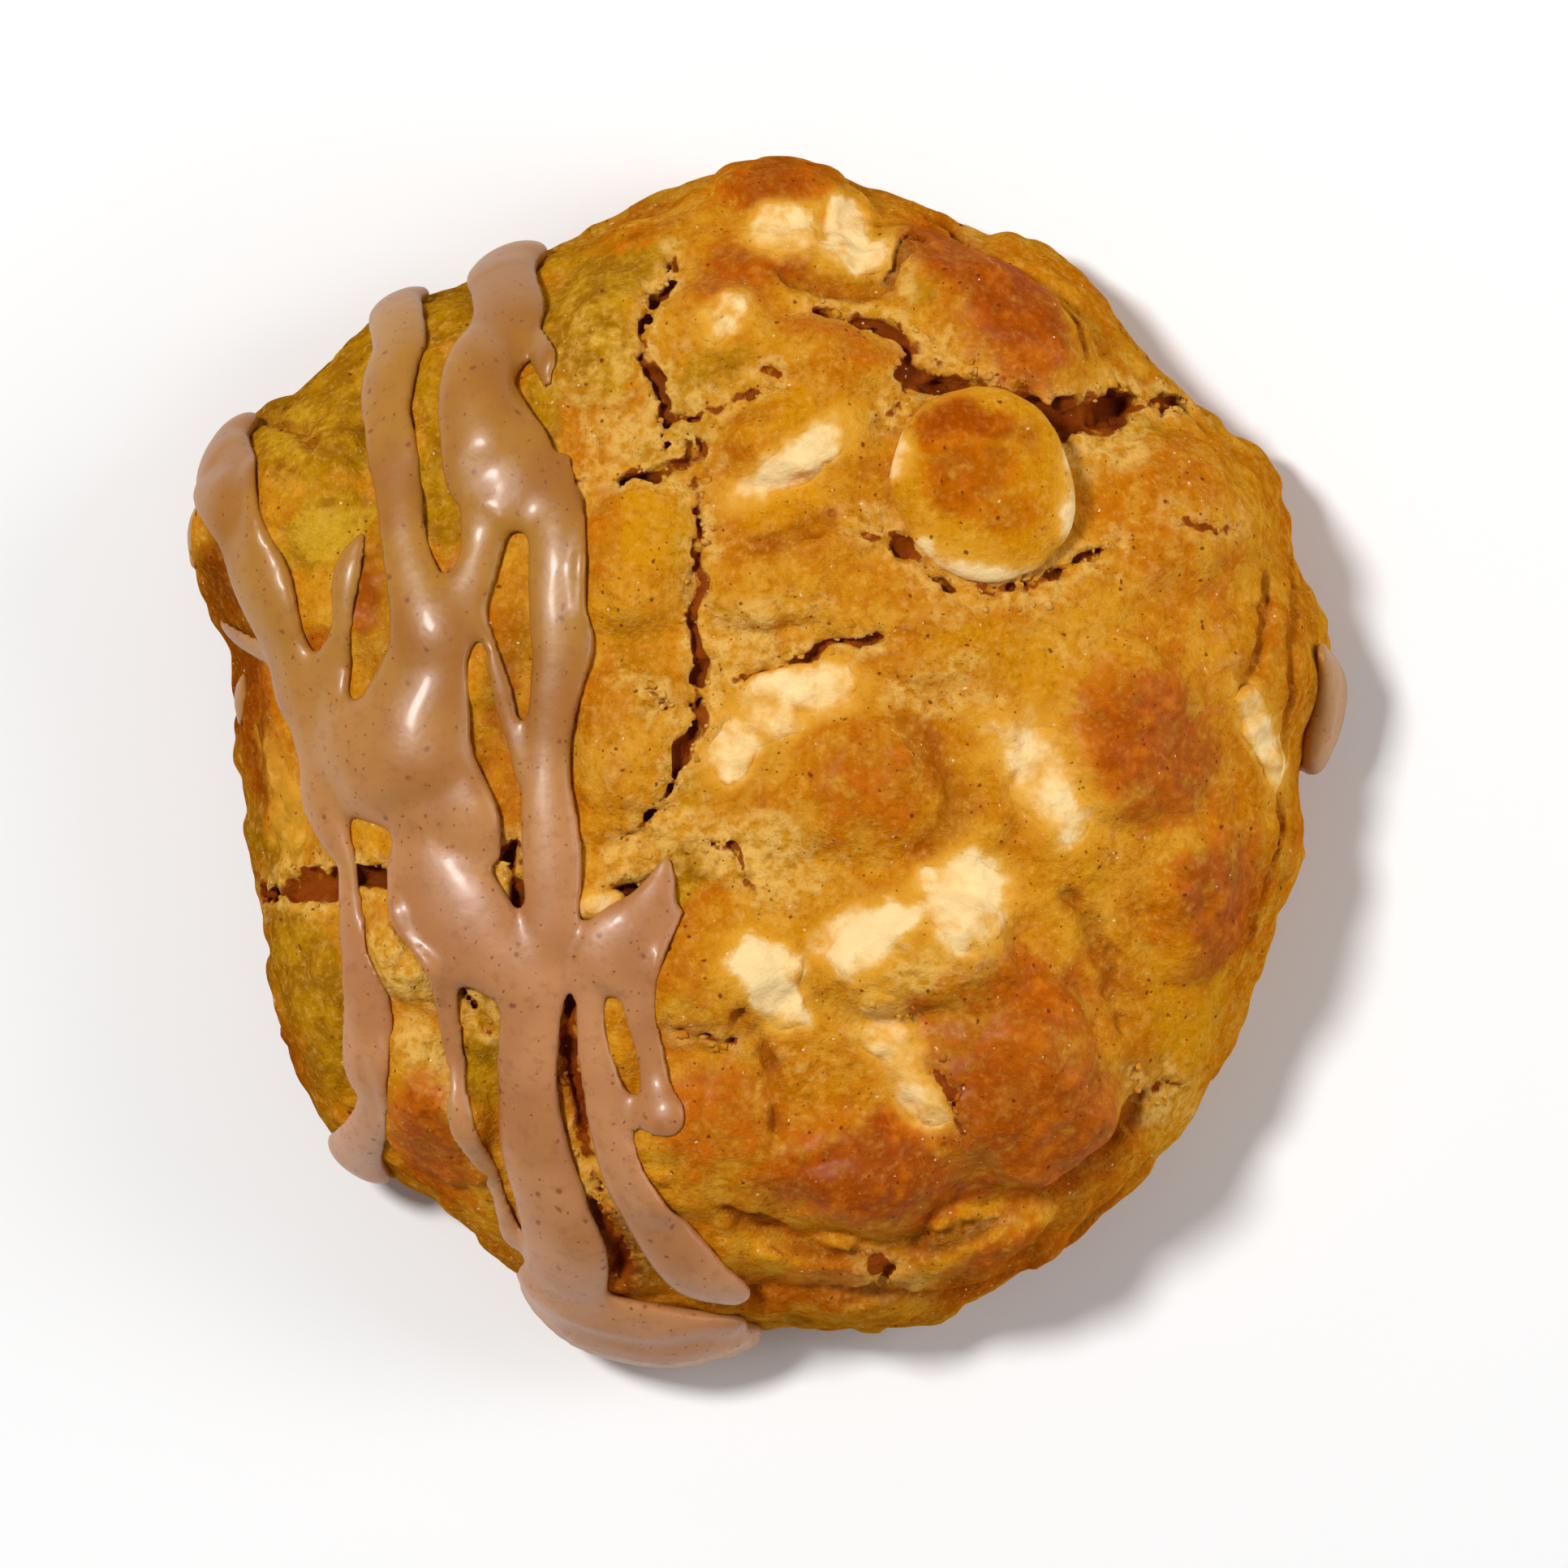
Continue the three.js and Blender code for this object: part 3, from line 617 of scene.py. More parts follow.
# %% Surface nets
def surface_of(field, block):
    """Points in mm and quads of the closed surface on which a field is zero."""
    inside = field < 0
    size = [n - 1 for n in field.shape]

    def corner(values, i, j, k):
        return values[i : i + size[0], j : j + size[1], k : k + size[2]]

    corners = [(i, j, k) for i in (0, 1) for j in (0, 1) for k in (0, 1)]
    filled = sum(corner(inside, *place).astype(np.int8) for place in corners)
    crossed = (filled > 0) & (filled < 8)
    cells = np.argwhere(crossed)
    number = np.full(crossed.shape, -1, np.int64)
    number[crossed] = np.arange(len(cells))
    total = np.zeros((len(cells), 3))
    count = np.zeros(len(cells))
    for axis in range(3):
        for i in (0, 1):
            for j in (0, 1):
                start = np.insert([i, j], axis, 0)
                end = np.insert([i, j], axis, 1)
                a = field[tuple((cells + start).T)]
                b = field[tuple((cells + end).T)]
                hit = (a < 0) != (b < 0)
                share = (a / np.where(a == b, 1, a - b))[hit]
                total[hit] += start + share[:, None] * (end - start)
                count[hit] += 1
    points = block.low + block.step * (cells + total / count[:, None])

    quads = []
    for axis in range(3):
        u, v = [k for k in range(3) if k != axis]
        low = [slice(1, -1)] * 3
        high = [slice(1, -1)] * 3
        low[axis] = slice(0, -1)
        high[axis] = slice(1, None)
        changes = np.argwhere(inside[tuple(low)] != inside[tuple(high)])
        origin = changes + np.array([0 if k == axis else 1 for k in range(3)])
        leaving = inside[tuple(origin.T)]
        ring = []
        for du, dv in ((-1, -1), (0, -1), (0, 0), (-1, 0)):
            cell = origin.copy()
            cell[:, u] += du
            cell[:, v] += dv
            ring.append(number[tuple(cell.T)])
        ring = np.stack(ring, 1)
        turned = leaving if axis != 1 else ~leaving
        ring[~turned] = ring[~turned][:, ::-1]
        quads.append(ring)
    return points, np.concatenate(quads)


def relaxed(points, faces, rounds):
    """The points of a net, smoothed: in each round every point moves halfway to its neighbours."""
    edges = np.concatenate([faces[:, [k, (k + 1) % faces.shape[1]]] for k in range(faces.shape[1])])
    count = np.bincount(edges[:, 0], minlength=len(points))[:, None]
    for _ in range(rounds):
        sums = [np.bincount(edges[:, 0], points[edges[:, 1], k], len(points)) for k in range(3)]
        points = 0.5 * points + 0.5 * np.stack(sums, 1) / count
    return points


def joined(nets):
    """Several nets as one."""
    starts = np.cumsum([0] + [len(points) for points, _ in nets])
    points = np.concatenate([points for points, _ in nets])
    return points, np.concatenate([faces + start for (_, faces), start in zip(nets, starts)])


# %% Pieces
def make_piece(name, points, faces, finish, node, masks=None):
    """A shown piece: its mesh, its finish, the part of the model that it hides, and the masks that
    its points carry.
    The faces are a list of arrays, each with one number of corners."""
    sizes = np.concatenate([np.full(len(part), part.shape[1]) for part in faces])
    corners = np.concatenate([part.ravel() for part in faces])
    mesh = bpy.data.meshes.new(name)
    mesh.vertices.add(len(points))
    mesh.vertices.foreach_set("co", ((points + PLAN_SHIFT) * MM).astype(np.float32).ravel())
    mesh.loops.add(len(corners))
    mesh.loops.foreach_set("vertex_index", corners.astype(np.int32))
    mesh.polygons.add(len(sizes))
    mesh.polygons.foreach_set("loop_start", (np.cumsum(sizes) - sizes).astype(np.int32))
    mesh.polygons.foreach_set("use_smooth", np.ones(len(sizes), bool))
    mesh.update(calc_edges=True)
    mesh.validate()
    for mask, values in (masks or {}).items():
        carried = mesh.attributes.new(mask, "FLOAT", "POINT")
        carried.data.foreach_set("value", values.astype(np.float32))
    mesh.materials.append(finish)
    piece = bpy.data.objects.new(name, mesh)
    bpy.context.collection.objects.link(piece)
    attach(piece, "root")
    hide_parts(node)
    print(name, int((sizes - 2).sum()), "triangles,", round(time.time() - started, 1), "s")
    return piece


# %% [markdown]
# ## Where the chocolate lies
# Each piece of chocolate is a pool or a shard with an outline of its own, built up from one to three
# soft ovals. The dough needs them first: it sinks a little over each piece and thins out over its
# edge, so that the chocolate shows as a patch with a ragged golden border and not as a pebble.

# %% Chocolate ovals
CHUNKS = {
    # how bare the piece is, then ovals of x, y, half length, half width and turn
    "chocolate_centre": (0.85, [(4.6, 6.0, 4.4, 2.5, 18), (0.8, 3.6, 4.4, 3.0, 42),
                                (-2.4, 0.4, 3.0, 2.4, 30)]),
    "chocolate_upper_streak": (0.85, [(5.2, 27.4, 3.6, 2.3, 32), (0.8, 24.4, 4.6, 1.9, 28)]),
    "chocolate_top_left": (0.75, [(1.8, 47.0, 4.0, 2.5, 8)]),
    "chocolate_top_right": (0.8, [(7.1, 46.6, 3.6, 2.2, 78), (9.0, 44.2, 2.2, 2.0, 0)]),
    "chocolate_small": (0.7, [(-3.4, 39.0, 2.8, 1.8, 40)]),
    "chocolate_broad": (1.0, [(17.4, -12.3, 4.7, 4.1, 35), (12.4, -13.8, 2.8, 1.6, 12),
                              (8.0, -15.4, 3.5, 3.2, 30)]),
    "chocolate_left_square": (0.95, [(-0.1, -18.2, 3.7, 3.0, -50), (2.2, -21.0, 3.0, 2.2, -80)]),
    "chocolate_lower": (0.74, [(11.0, -24.8, 4.0, 2.7, -62), (13.6, -29.6, 3.8, 2.0, -50)]),
    "chocolate_right": (0.74, [(23.0, 0.6, 4.4, 3.8, -70), (25.6, -3.8, 4.2, 3.6, -55)]),
    "chocolate_right_wall": (0.85, [(43.2, 3.6, 3.2, 1.8, -62), (44.6, 0.0, 3.6, 1.3, -66)]),
    "chocolate_left_wall": (0.34, [(-42.6, -1.6, 4.0, 1.5, -72), (-41.8, -6.2, 3.2, 1.7, -88)]),
    "chocolate_in_split": (0.8, [(-14.2, -12.6, 2.6, 1.3, 16)]),
}
OVAL_PUSH = ((3.4, 0.3, 81), (1.4, 0.2, 82))  # size, share and seed of the noise along an outline
OVAL_SQUARENESS = 2.4
OVAL_FILLET = 0.5
OVAL_FAR = 9.0


def oval_reach(ovals, x, y, uneven):
    """0 in the middle of a group of ovals and 1 on its outline."""
    reach = OVAL_FAR
    for oval in ovals:
        along, across = oval_apart(x, y, oval)
        apart = np.abs(along) ** OVAL_SQUARENESS + np.abs(across) ** OVAL_SQUARENESS
        reach = soft_least(reach, apart ** (1 / OVAL_SQUARENESS), OVAL_FILLET)
    return reach + uneven


print(len(CHUNKS), "pieces of chocolate in", sum(len(ovals) for _, ovals in CHUNKS.values()), "ovals")


# %% [markdown]
# ## Where the crust browned, tore and greened
# The oven painted this cookie unevenly, and so does the notebook: soft oval strokes over the plan say
# where the crust is browned, pale, olive, bright or in shade. Noise pushes the edges of the strokes
# about, so that none of them reads as an oval.

# %% Strokes
BROWNED = [
    # x, y, half length, half width, turn, strength
    (1, 51, 7, 3.4, 0, 0.9), (-10, 47, 8, 2.6, 20, 0.6), (-1.5, 42.6, 7, 3.6, 8, 0.75),
    (8, 36.6, 7, 3, -20, 0.55), (15, 45.5, 5, 4, -40, 0.9), (21.5, 39.6, 11, 5.2, -45, 0.95),
    (29, 42, 8, 3.5, -45, 0.3), (-14.6, 19.5, 3, 7, 0, 0.5), (0, 29.8, 4.5, 1.8, 20, 0.6),
    (4, 19, 6, 4.4, 10, 0.3), (8.6, -1.6, 7.5, 6.4, 10, 0.55), (33.5, 1.5, 8.5, 10.5, 35, 0.85),
    (38, 20, 7, 11, 20, 0.4), (40, -13, 5.5, 9, -15, 0.85), (22, -22, 10, 7, 0, 0.75),
    (14.5, -21.6, 6, 2, 10, 0.7), (22.5, -31, 15, 9.6, -36, 0.85), (9, -36, 12.5, 6.4, 0, 1.0),
    (17.5, -39, 8, 2.4, 25, 0.9), (-5, -24, 7, 7, 0, 0.45), (-4, -31, 8, 7.5, 0, 0.65),
    (-13, -44, 3, 8, 10, 1.0), (5, -47, 12, 3.2, 0, 0.7), (21, -45, 9, 2.6, 22, 0.8),
    (-29, -34, 6, 7, 20, 0.85), (-47.5, 17, 3.4, 7, 0, 0.9), (-42.5, -27, 4, 9, 20, 0.7),
    (-35.4, 14, 2.6, 7, 0, 0.8), (-26, 18, 3, 6, 0, 0.5), (-22, 4, 2.6, 9, 0, 0.6),
    (-45, 4, 3.4, 11, 8, 1.0), (-39, 6, 2.4, 7, 30, 0.8), (47, 4, 3, 22, 3, 0.45),
    (-16.5, -26, 2.4, 9, 0, 0.8), (-37, 42, 10, 3, 45, 0.3), (30, -42, 12, 4, 40, 0.6),
    (38, 10, 4.5, 6, 0, 0.35),
]
PALE = [
    (-14, 33.5, 5.5, 8, 0, 0.4), (-12.5, 28.4, 6, 3, 0, 0.7), (-12, 2.6, 5, 8, 0, 0.35),
    (-2.6, 11, 4.4, 4.2, 0, 0.75), (2.6, 12.6, 5, 2.6, 0, 0.5), (-7.4, -6, 5, 3.4, 30, 0.6),
    (-1, -8.4, 6.5, 4, 0, 0.85), (3, -12, 5, 3, 20, 0.5), (9.6, 20.4, 5, 3, 0, 0.55),
    (15.5, 12.6, 6, 2.4, 0, 0.5), (29.6, 27.4, 6, 3, 10, 0.7), (18, 34.6, 9, 3, -12, 0.5),
    (33, 15.6, 5, 3, 0, 0.35), (26, 11.6, 5, 5, 0, 0.4), (31.5, -9, 3, 5, 0, 0.3),
    (10, -46.4, 6, 3, 0, 0.8), (34.6, -30, 5, 3, 30, 0.65), (40.4, 9, 3, 7, 10, 0.3),
    (3, 45.4, 8, 3, 0, 0.6), (12, 43, 3, 4, 0, 0.6), (-6, 38, 4, 5, 30, 0.35),
    (9, -23, 5, 3, -30, 0.5), (3, -26.4, 6, 2, 0, 0.4), (-25, -14, 2, 4, 0, 0.3),
    # the stroke at 15, -18.2 is a painted highlight: it lightens the greasy sheen under the broad
    # chocolate
    (-31.4, -18, 3, 6, 15, 0.9), (-29.4, -28, 2.4, 6, 20, 0.8), (15, -18.2, 7, 2.6, 10, 0.8),
    (16, 6, 7, 4, 0, 0.55), (18.5, 46, 1.2, 6, 35, 0.6), (20, 32, 7, 2, -12, 0.5),
    (18, -40.8, 6, 1.0, 22, 0.8),
]
OLIVE = [
    (-38, 32, 11, 8, 45, 0.9), (-26, 40, 7, 5, 30, 0.7), (-28, 26, 4, 11, 0, 0.85),
    (-14, 44, 8, 4, 10, 0.7), (-43, -8, 3, 5, 0, 0.7), (-40, -21, 4.5, 11, 15, 1.0),
    (-8, -10, 6, 3.4, 20, 0.8), (-23.6, -25, 3.6, 6, 0, 1.0), (-4.4, 33.4, 5, 3, 20, 0.5),
    (-20, 30, 3, 6, 0, 0.7), (-5.6, 20, 2.4, 7, 0, 0.35), (7.6, 45.6, 2.4, 4, 0, 0.5),
    (-9, 26, 5, 3, 0, 0.5), (30, 30, 6, 3, 0, 0.4), (14, 41, 2.4, 4, -30, 0.4),
    (8.4, -22.6, 3, 2, 0, 0.4), (-6, -2, 3, 5, 20, 0.4), (-38.2, 20, 5, 4, 10, 0.9),
    (-15, 38, 5.5, 9, 0, 0.85), (-7, 30, 5, 5, 0, 0.5), (9, 44, 5, 4, 0, 0.45),
    (-10, 8, 4, 5, 0, 0.35),
]
BRIGHT = [
    (-10.6, 20.6, 5, 5.5, 0, 0.9), (-38.2, 20, 4, 2.6, 10, 1.0), (18.6, 9.6, 6, 3, 0, 0.5),
    (-13, 38, 5, 7, 0, 0.4), (8, 30.6, 5, 2, 0, 0.5), (2, 20.6, 5, 4, 0, 0.5),
    (24, 8.4, 5, 4, 0, 0.5), (-24, 18.6, 3, 3, 0, 0.4), (1, -15.4, 6, 3, 0, 0.4),
    (28, -6, 4, 6, 0, 0.4), (3, -30, 5, 3, 0, 0.3), (-42, 28, 6, 4, 30, 0.4),
    (38, -20, 5, 9, -15, 0.7), (0, 30, 5, 3, 0, 0.7), (2, -9, 6, 4, 0, 0.5), (45, 6, 3, 12, 0, 0.2),
    (-28, -33, 3, 4, 30, 0.6),
]
SHADED = [
    # where the wall and the ropes of icing stand in the light's way
    (-47.4, 13, 4, 13, 0, 1.0), (-45, -2, 2.4, 12, 0, 0.85), (-45, -14, 3, 3, 0, 0.6),
    (-43.6, -24, 3, 9, 10, 0.7), (-37, -39, 5, 5, 40, 0.7), (-33.8, 11, 2.2, 7, 0, 0.45),
    (-22.6, 8, 2.4, 8, 0, 0.6), (-24.6, -1, 2, 6, 0, 0.6), (-38, -8, 3, 2, 0, 0.4),
    (-12, -44, 2.4, 6, 12, 1.0), (-20, -24, 1.5, 6, 0, 0.5),
]


STROKES = {
    # the strokes of each mask and the seed of their edges
    "browned": (BROWNED, 101), "pale": (PALE, 111), "olive": (OLIVE, 121), "bright": (BRIGHT, 131),
    "shaded": (SHADED, 141),
}
BRUSH_WANDER = ((5.5, 1.7, 0), (1.8, 0.7, 2))  # size, push and seed of the noise along a stroke
BRUSH_EDGE = (0.35, 1.25)  # where a stroke starts to fade and where it ends, as shares of its oval


def brushed(points, strokes, seed):
    """Soft strokes over the plan, with edges pushed about by noise: 0 to 1 at each point."""
    sample = at_points(points)
    x, y = (points[:, side] + layered(BRUSH_WANDER, sample, later=seed + side) for side in (0, 1))
    total = np.zeros(len(points))
    for *oval, strength in strokes:
        along, across = oval_apart(x, y, oval)
        apart = np.sqrt(along**2 + across**2)
        total = np.maximum(total, strength * (1 - smoothstep(*BRUSH_EDGE, apart)))
    return total


print(sum(len(strokes) for strokes, _ in STROKES.values()), "strokes")


# %% [markdown]
# ## Cracks
# The dome cracks as it rises: the dry skin tears and the moist crumb shows. A crack is a wedge cut
# along a run, widest at the crust and closed at its depth. A ruler-straight wedge looks like a knife
# cut, so the wedge is measured at places pushed about by noise, and its width comes and goes. Where
# the skin held, the dough only sank: such a soft fold is a groove pressed in along a run.

# %% Cracks
CRACKS = [
    # depth, then stops of x, y and width
    (2.6, [(-8.2, 44, 0.3), (-9.6, 40.5, 0.5), (-10.4, 37.5, 0.6), (-9.9, 34, 0.6),
           (-8.8, 30.6, 0.6), (-9.0, 27, 0.8)]),
    (4.6, [(-16.4, 23.6, 0.4), (-12.6, 24.2, 0.8), (-8.8, 25.2, 2.5), (-6.4, 26.8, 2.1)]),
    (1.3, [(-8.6, 30.4, 0.4), (-5.2, 30.4, 0.5), (-2.5, 31.4, 0.5), (0.8, 33.2, 0.3)]),
    (1.9, [(-6.8, 25, 0.8), (-5.4, 20, 0.7), (-5.9, 14.5, 0.8), (-5.6, 7, 0.8)]),
    (3.0, [(-5.6, 8, 0.7), (-5.8, 3.4, 1.0), (-7, -0.6, 0.9), (-9.2, -4.6, 0.6), (-13, -9, 0.4)]),
    (2.6, [(4.2, 39.8, 0.5), (6.8, 38.6, 1.1), (9.6, 38, 1.1), (13.6, 34.6, 1.0)]),
    (2.2, [(31, 32, 1.0), (34, 31.6, 0.8), (39, 31.4, 0.6)]),
    (2.2, [(14.2, 34.6, 0.8), (12.6, 31.6, 0.7), (9.6, 29, 0.4)]),
    (3.4, [(-45, -12.4, 1.4), (-41, -11.4, 2.2), (-38, -10.6, 2.6), (-34, -10.2, 1.8)]),
    (4.2, [(-17, -14.2, 1.1), (-14, -13.4, 2.1), (-11, -12.2, 1.7), (-8.2, -9.4, 0.6)]),
    (4.0, [(-22.4, -8.4, 1.1), (-21.8, -11.2, 1.6), (-22, -13.6, 1.0)]),
    (3.2, [(-26.6, -17.6, 1.0), (-26, -20, 1.0), (-24.4, -22.8, 1.5)]),
    (2.6, [(-16.6, -16, 0.7), (-16.8, -22, 1.2), (-16.6, -29, 1.3), (-14.6, -37, 1.5),
           (-12.6, -45, 2.0)]),
    (1.4, [(-7.8, -23.6, 0.6), (-5.6, -24.2, 0.7), (-2.8, -25, 0.5)]),
    (1.2, [(9.2, -20.4, 0.8), (11.6, -22, 1.0), (14.6, -27, 0.8), (17, -31.5, 0.7)]),
    (0.9, [(9.2, -44.2, 1.4), (10.8, -45.4, 1.6)]),
    (1.0, [(32.4, -27.4, 0.4), (34, -28.6, 0.7), (36.6, -29.6, 0.5)]),
    (0.9, [(35, 21.6, 0.5), (37.6, 19.8, 0.6), (41, 20.4, 0.4)]),
    (1.4, [(-12.8, 6.6, 0.3), (-9.8, 5.4, 0.4), (-7.4, 4.2, 0.3)]),
    (1.4, [(-4.4, -7.6, 0.5), (-2, -9, 0.5), (-1, -12.4, 0.3)]),
    (2.2, [(9.4, 19.4, 1.0), (11.4, 18.8, 1.2), (13.4, 16.4, 0.5), (16.6, 14.7, 0.6),
           (20.4, 14.2, 0.7), (23.6, 14.8, 0.7), (27, 16.8, 0.4), (31, 19.2, 0.4)]),
    (2.0, [(-1.9, 7.2, 0.5), (2, 9, 0.7), (6, 9.7, 0.7), (10.4, 10.4, 0.4)]),
    (4.6, [(12.8, 34, 1.5), (16, 33.2, 2.6), (20, 32.4, 2.2), (24, 30.8, 2.2)]),
    (4.6, [(23.4, 30.9, 2.2), (27.4, 29.8, 2.8), (30.4, 30.6, 2.8), (33, 32.6, 1.0)]),
]
GROOVES = [
    # depth, then stops of x, y and width of the soft folds where the dough only sank
    (1.4, [(-3, -39.4, 1.6), (1, -41.8, 2.2), (7, -43.4, 2.6), (13, -42.8, 2.8), (19, -40.6, 2.8),
           (27, -36, 2.4), (34, -29.6, 2.0)]),
    (1.1, [(-1, -47.4, 1.6), (6, -46.8, 2.2), (13, -47.6, 2.4), (20, -46.4, 2.2), (27, -42, 1.8),
           (34, -36, 1.4)]),
    (0.9, [(47.4, 18, 0.8), (46.6, 10, 1.4), (45.8, 0, 1.4), (44.4, -12, 1.2), (42, -20, 1.0)]),
    (1.0, [(44.4, 16, 0.8), (43.8, 9, 1.0), (42.4, 6, 1.0)]),
    (1.3, [(16.6, 47.6, 1.4), (20, 43.6, 1.8), (24.6, 39.6, 1.6), (28, 35, 1.2)]),
    (1.1, [(6, 21.6, 1.2), (2.6, 19.2, 1.4), (-1.6, 18.6, 1.2)]),
    (0.7, [(12.2, 3.4, 2.4), (15.2, 0, 2.8), (17, -4.4, 2.8), (14, -8, 2.8)]),
    (1.1, [(26.8, -12, 1.4), (30, -17, 1.6), (31.6, -23, 1.4)]),
    (1.2, [(-2, -22.6, 1.4), (0.6, -27, 1.6), (1.4, -32, 1.4)]),
    (1.3, [(2, 42.8, 1.4), (6.4, 41.2, 1.8), (11, 41.6, 1.6), (13.4, 45, 1.2)]),
    (0.8, [(-46, 31, 0.7), (-41, 29, 0.9), (-38.6, 27, 0.7)]),
    (0.7, [(-42.6, 25.6, 0.6), (-40.4, 24.8, 0.7)]),
]
TORN = ((2.8, 0.8, 31), (1.2, 0.9, 32))  # size, push and seed of the noise that tears the edges
WANDER = ((3.0, 0.8, 36), (1.25, 0.45, 38))  # size, push and seed of the noise that bends a crack
WAXING = (3.4, 0.4, 33)  # size, share and seed of the noise that widens and narrows a crack
CRUMBLY = ((1.9, 0.3, 34), (1.0, 0.24, 35))  # size, depth and seed of the open crumb
STILL_OPEN = 0.65  # how much of a crack's depth the crumb hasn't filled again
WEDGE_CURVE = 1.6
WEDGE_SLOPE = 0.8  # keeps the field beside a leaning wall of a crack close to a true distance
TORN_SHARE, TORN_MOST = 0.9, 0.6  # of a crack's half width, and at most, in mm
LIP_FLARE = 0.3  # how much wider a crack is over the crust, for each mm of height
LIP_ROUNDING = 0.3
OPEN_CRUMB = (0.3, 3.6)  # the crumb is open this near the edge of a crack, and closed this far off
crack_runs = [(STILL_OPEN * depth, crust_run(stops)) for depth, stops in CRACKS]
groove_runs = [(depth, crust_run(stops)) for depth, stops in GROOVES]
print(len(crack_runs), "cracks and", len(groove_runs), "soft folds")


def torn_share(half):
    """How much of the tearing a crack of a half width takes."""
    return np.minimum(TORN_SHARE * half, TORN_MOST)


def wandering(sample):
    """How far the cracks are pushed aside along x and y."""
    return [layered(WANDER, sample, later=side) for side in (0, 1)]


def press_grooves(block, level, dough):
    """Lets the dough sink along the soft folds."""
    push = layered(TORN, over_block(*block.whole()))
    for depth, run in groove_runs:
        cut, aside, half = beside_run(block, level, run, run[:, 3].max() * 2 + 3, most=9.0)
        dough[cut] += depth * np.exp(-(((aside + 0.5 * push[cut]) / half) ** 2))
    return dough


def cut_cracks(block, level, dough):
    """Cuts every crack out of the dough, and roughens the crumb beside it."""
    x, y, z = block.whole()
    sample = over_block(x, y, z)
    push = layered(TORN, sample)
    crumbly = layered(CRUMBLY, sample, fold=clods)
    plan = np.stack(np.broadcast_arrays(x, y, z[:, :, :1]), -1).reshape(-1, 3)
    open_crumb = brushed(plan, *STROKES["pale"]).reshape(len(x), -1, 1)
    beside = np.repeat(open_crumb, z.size, 2).astype(np.float32)
    width = 1 + layered([WAXING], sample)
    warp = wandering(sample)
    for depth, run in crack_runs:
        cut, aside, half = beside_run(block, level, run, run[:, 3].max() + 3, warp=warp)
        under = np.clip(-level[cut] / depth, 0, 1)
        reach = half * width[cut] * (1 - under**WEDGE_CURVE) + LIP_FLARE * np.maximum(level[cut], 0)
        beside[cut] = np.maximum(beside[cut], 1 - smoothstep(*OPEN_CRUMB, aside - half))
        wedge = (aside + push[cut] * torn_share(half) - reach) * WEDGE_SLOPE
        wedge = np.where(-level[cut] > depth, np.maximum(wedge, -level[cut] - depth), wedge)
        dough[cut] = soft_most(dough[cut], -wedge, LIP_ROUNDING)
    return dough - beside * crumbly


# %% [markdown]
# ## The dough
# One field holds the whole drop: the level of the crust, the grain of the crumb, the shallow pockets
# over the chocolate, the cracks, and the flat underside. The grain is real relief down to one
# millimetre, and finer grain comes later as bump in the finish. Nobody sees the underside, which
# needs no small faces: they are dropped, and a fan of triangles closes it.

# %% Dough
DOUGH_STEP = 0.42
DOUGH_BOX = ([-56, -57, -1.5], [55, 57, 41])
FINE_GRAIN = ((1.7, 0.17, 13), (1.05, 0.13, 14))  # size, depth and seed
POCKET_DEPTH = 0.9
POCKET_EDGE = (0.45, 0.78)  # from the floor of a pocket to its brim, as shares of the oval
UNDERSIDE_ROUNDING = 0.8


def sink_pockets(block, level):
    """Raises the level over the chocolate, so that the dough lies lower there."""
    for _, ovals in CHUNKS.values():
        spread = np.array([[x, y, dome_at(x, y)] for x, y, *_ in ovals])
        cut, (x, y, z) = block.part(spread.min(0) - 7, spread.max(0) + 7)
        reach = oval_reach(ovals, x, y, layered(OVAL_PUSH, over_block(x, y, z)))
        near = 1 - smoothstep(2.5, 5, np.abs(level[cut]))
        level[cut] += POCKET_DEPTH * (1 - smoothstep(*POCKET_EDGE, reach)) * near
    return level


def dough_field(block):
    """The field of the whole drop of dough."""
    level = crust_level(block)
    x, y, z = block.whole()
    rough = layered(FINE_GRAIN, over_block(x, y, z)) * smoothstep(*GROUNDED, z)
    dough = press_grooves(block, level, sink_pockets(block, level - rough))
    return soft_most(cut_cracks(block, level, dough), -z, UNDERSIDE_ROUNDING)


def underside_closed(points, faces, flat=0.05):
    """The quads without those on the floor, and the triangles of a fan that closes the hole."""
    low = (points[faces][:, :, 2] < flat).all(1)
    kept, dropped = faces[~low], faces[low]
    edges = np.concatenate([np.stack([kept[:, k], kept[:, (k + 1) % 4]], 1) for k in range(4)])
    known = set(map(tuple, edges.tolist()))
    rim = np.array([edge for edge in known if (edge[1], edge[0]) not in known])
    middle = len(points)
    points = np.concatenate([points, [[0, 0, 0]]])
    fan = np.stack([rim[:, 1], rim[:, 0], np.full(len(rim), middle)], 1)
    used = np.unique(np.concatenate([kept.ravel(), [middle]]))
    place = np.zeros(len(points), int)
    place[used] = np.arange(len(used))
    return points[used], [place[kept], place[fan]]


dough_block = Block(*DOUGH_BOX, DOUGH_STEP)
print("dough block", dough_block.shape)
dough_points, dough_quads = surface_of(dough_field(dough_block), dough_block)
dough_points[:, 2] = np.maximum(dough_points[:, 2], 0)
dough_points, dough_faces = underside_closed(dough_points, dough_quads)
print("dough", len(dough_points), "points", round(time.time() - started, 1), "s")

# %% [markdown]
# ## Masks of the bake
# A shader can't know where a crack runs or where the oven browned the dough, but the points of the
# mesh can carry that. Each mask below is one number for each point, and the finish reads it by name.
# Crumbs and chocolate ask for the same masks, so that their colours go on without a seam.

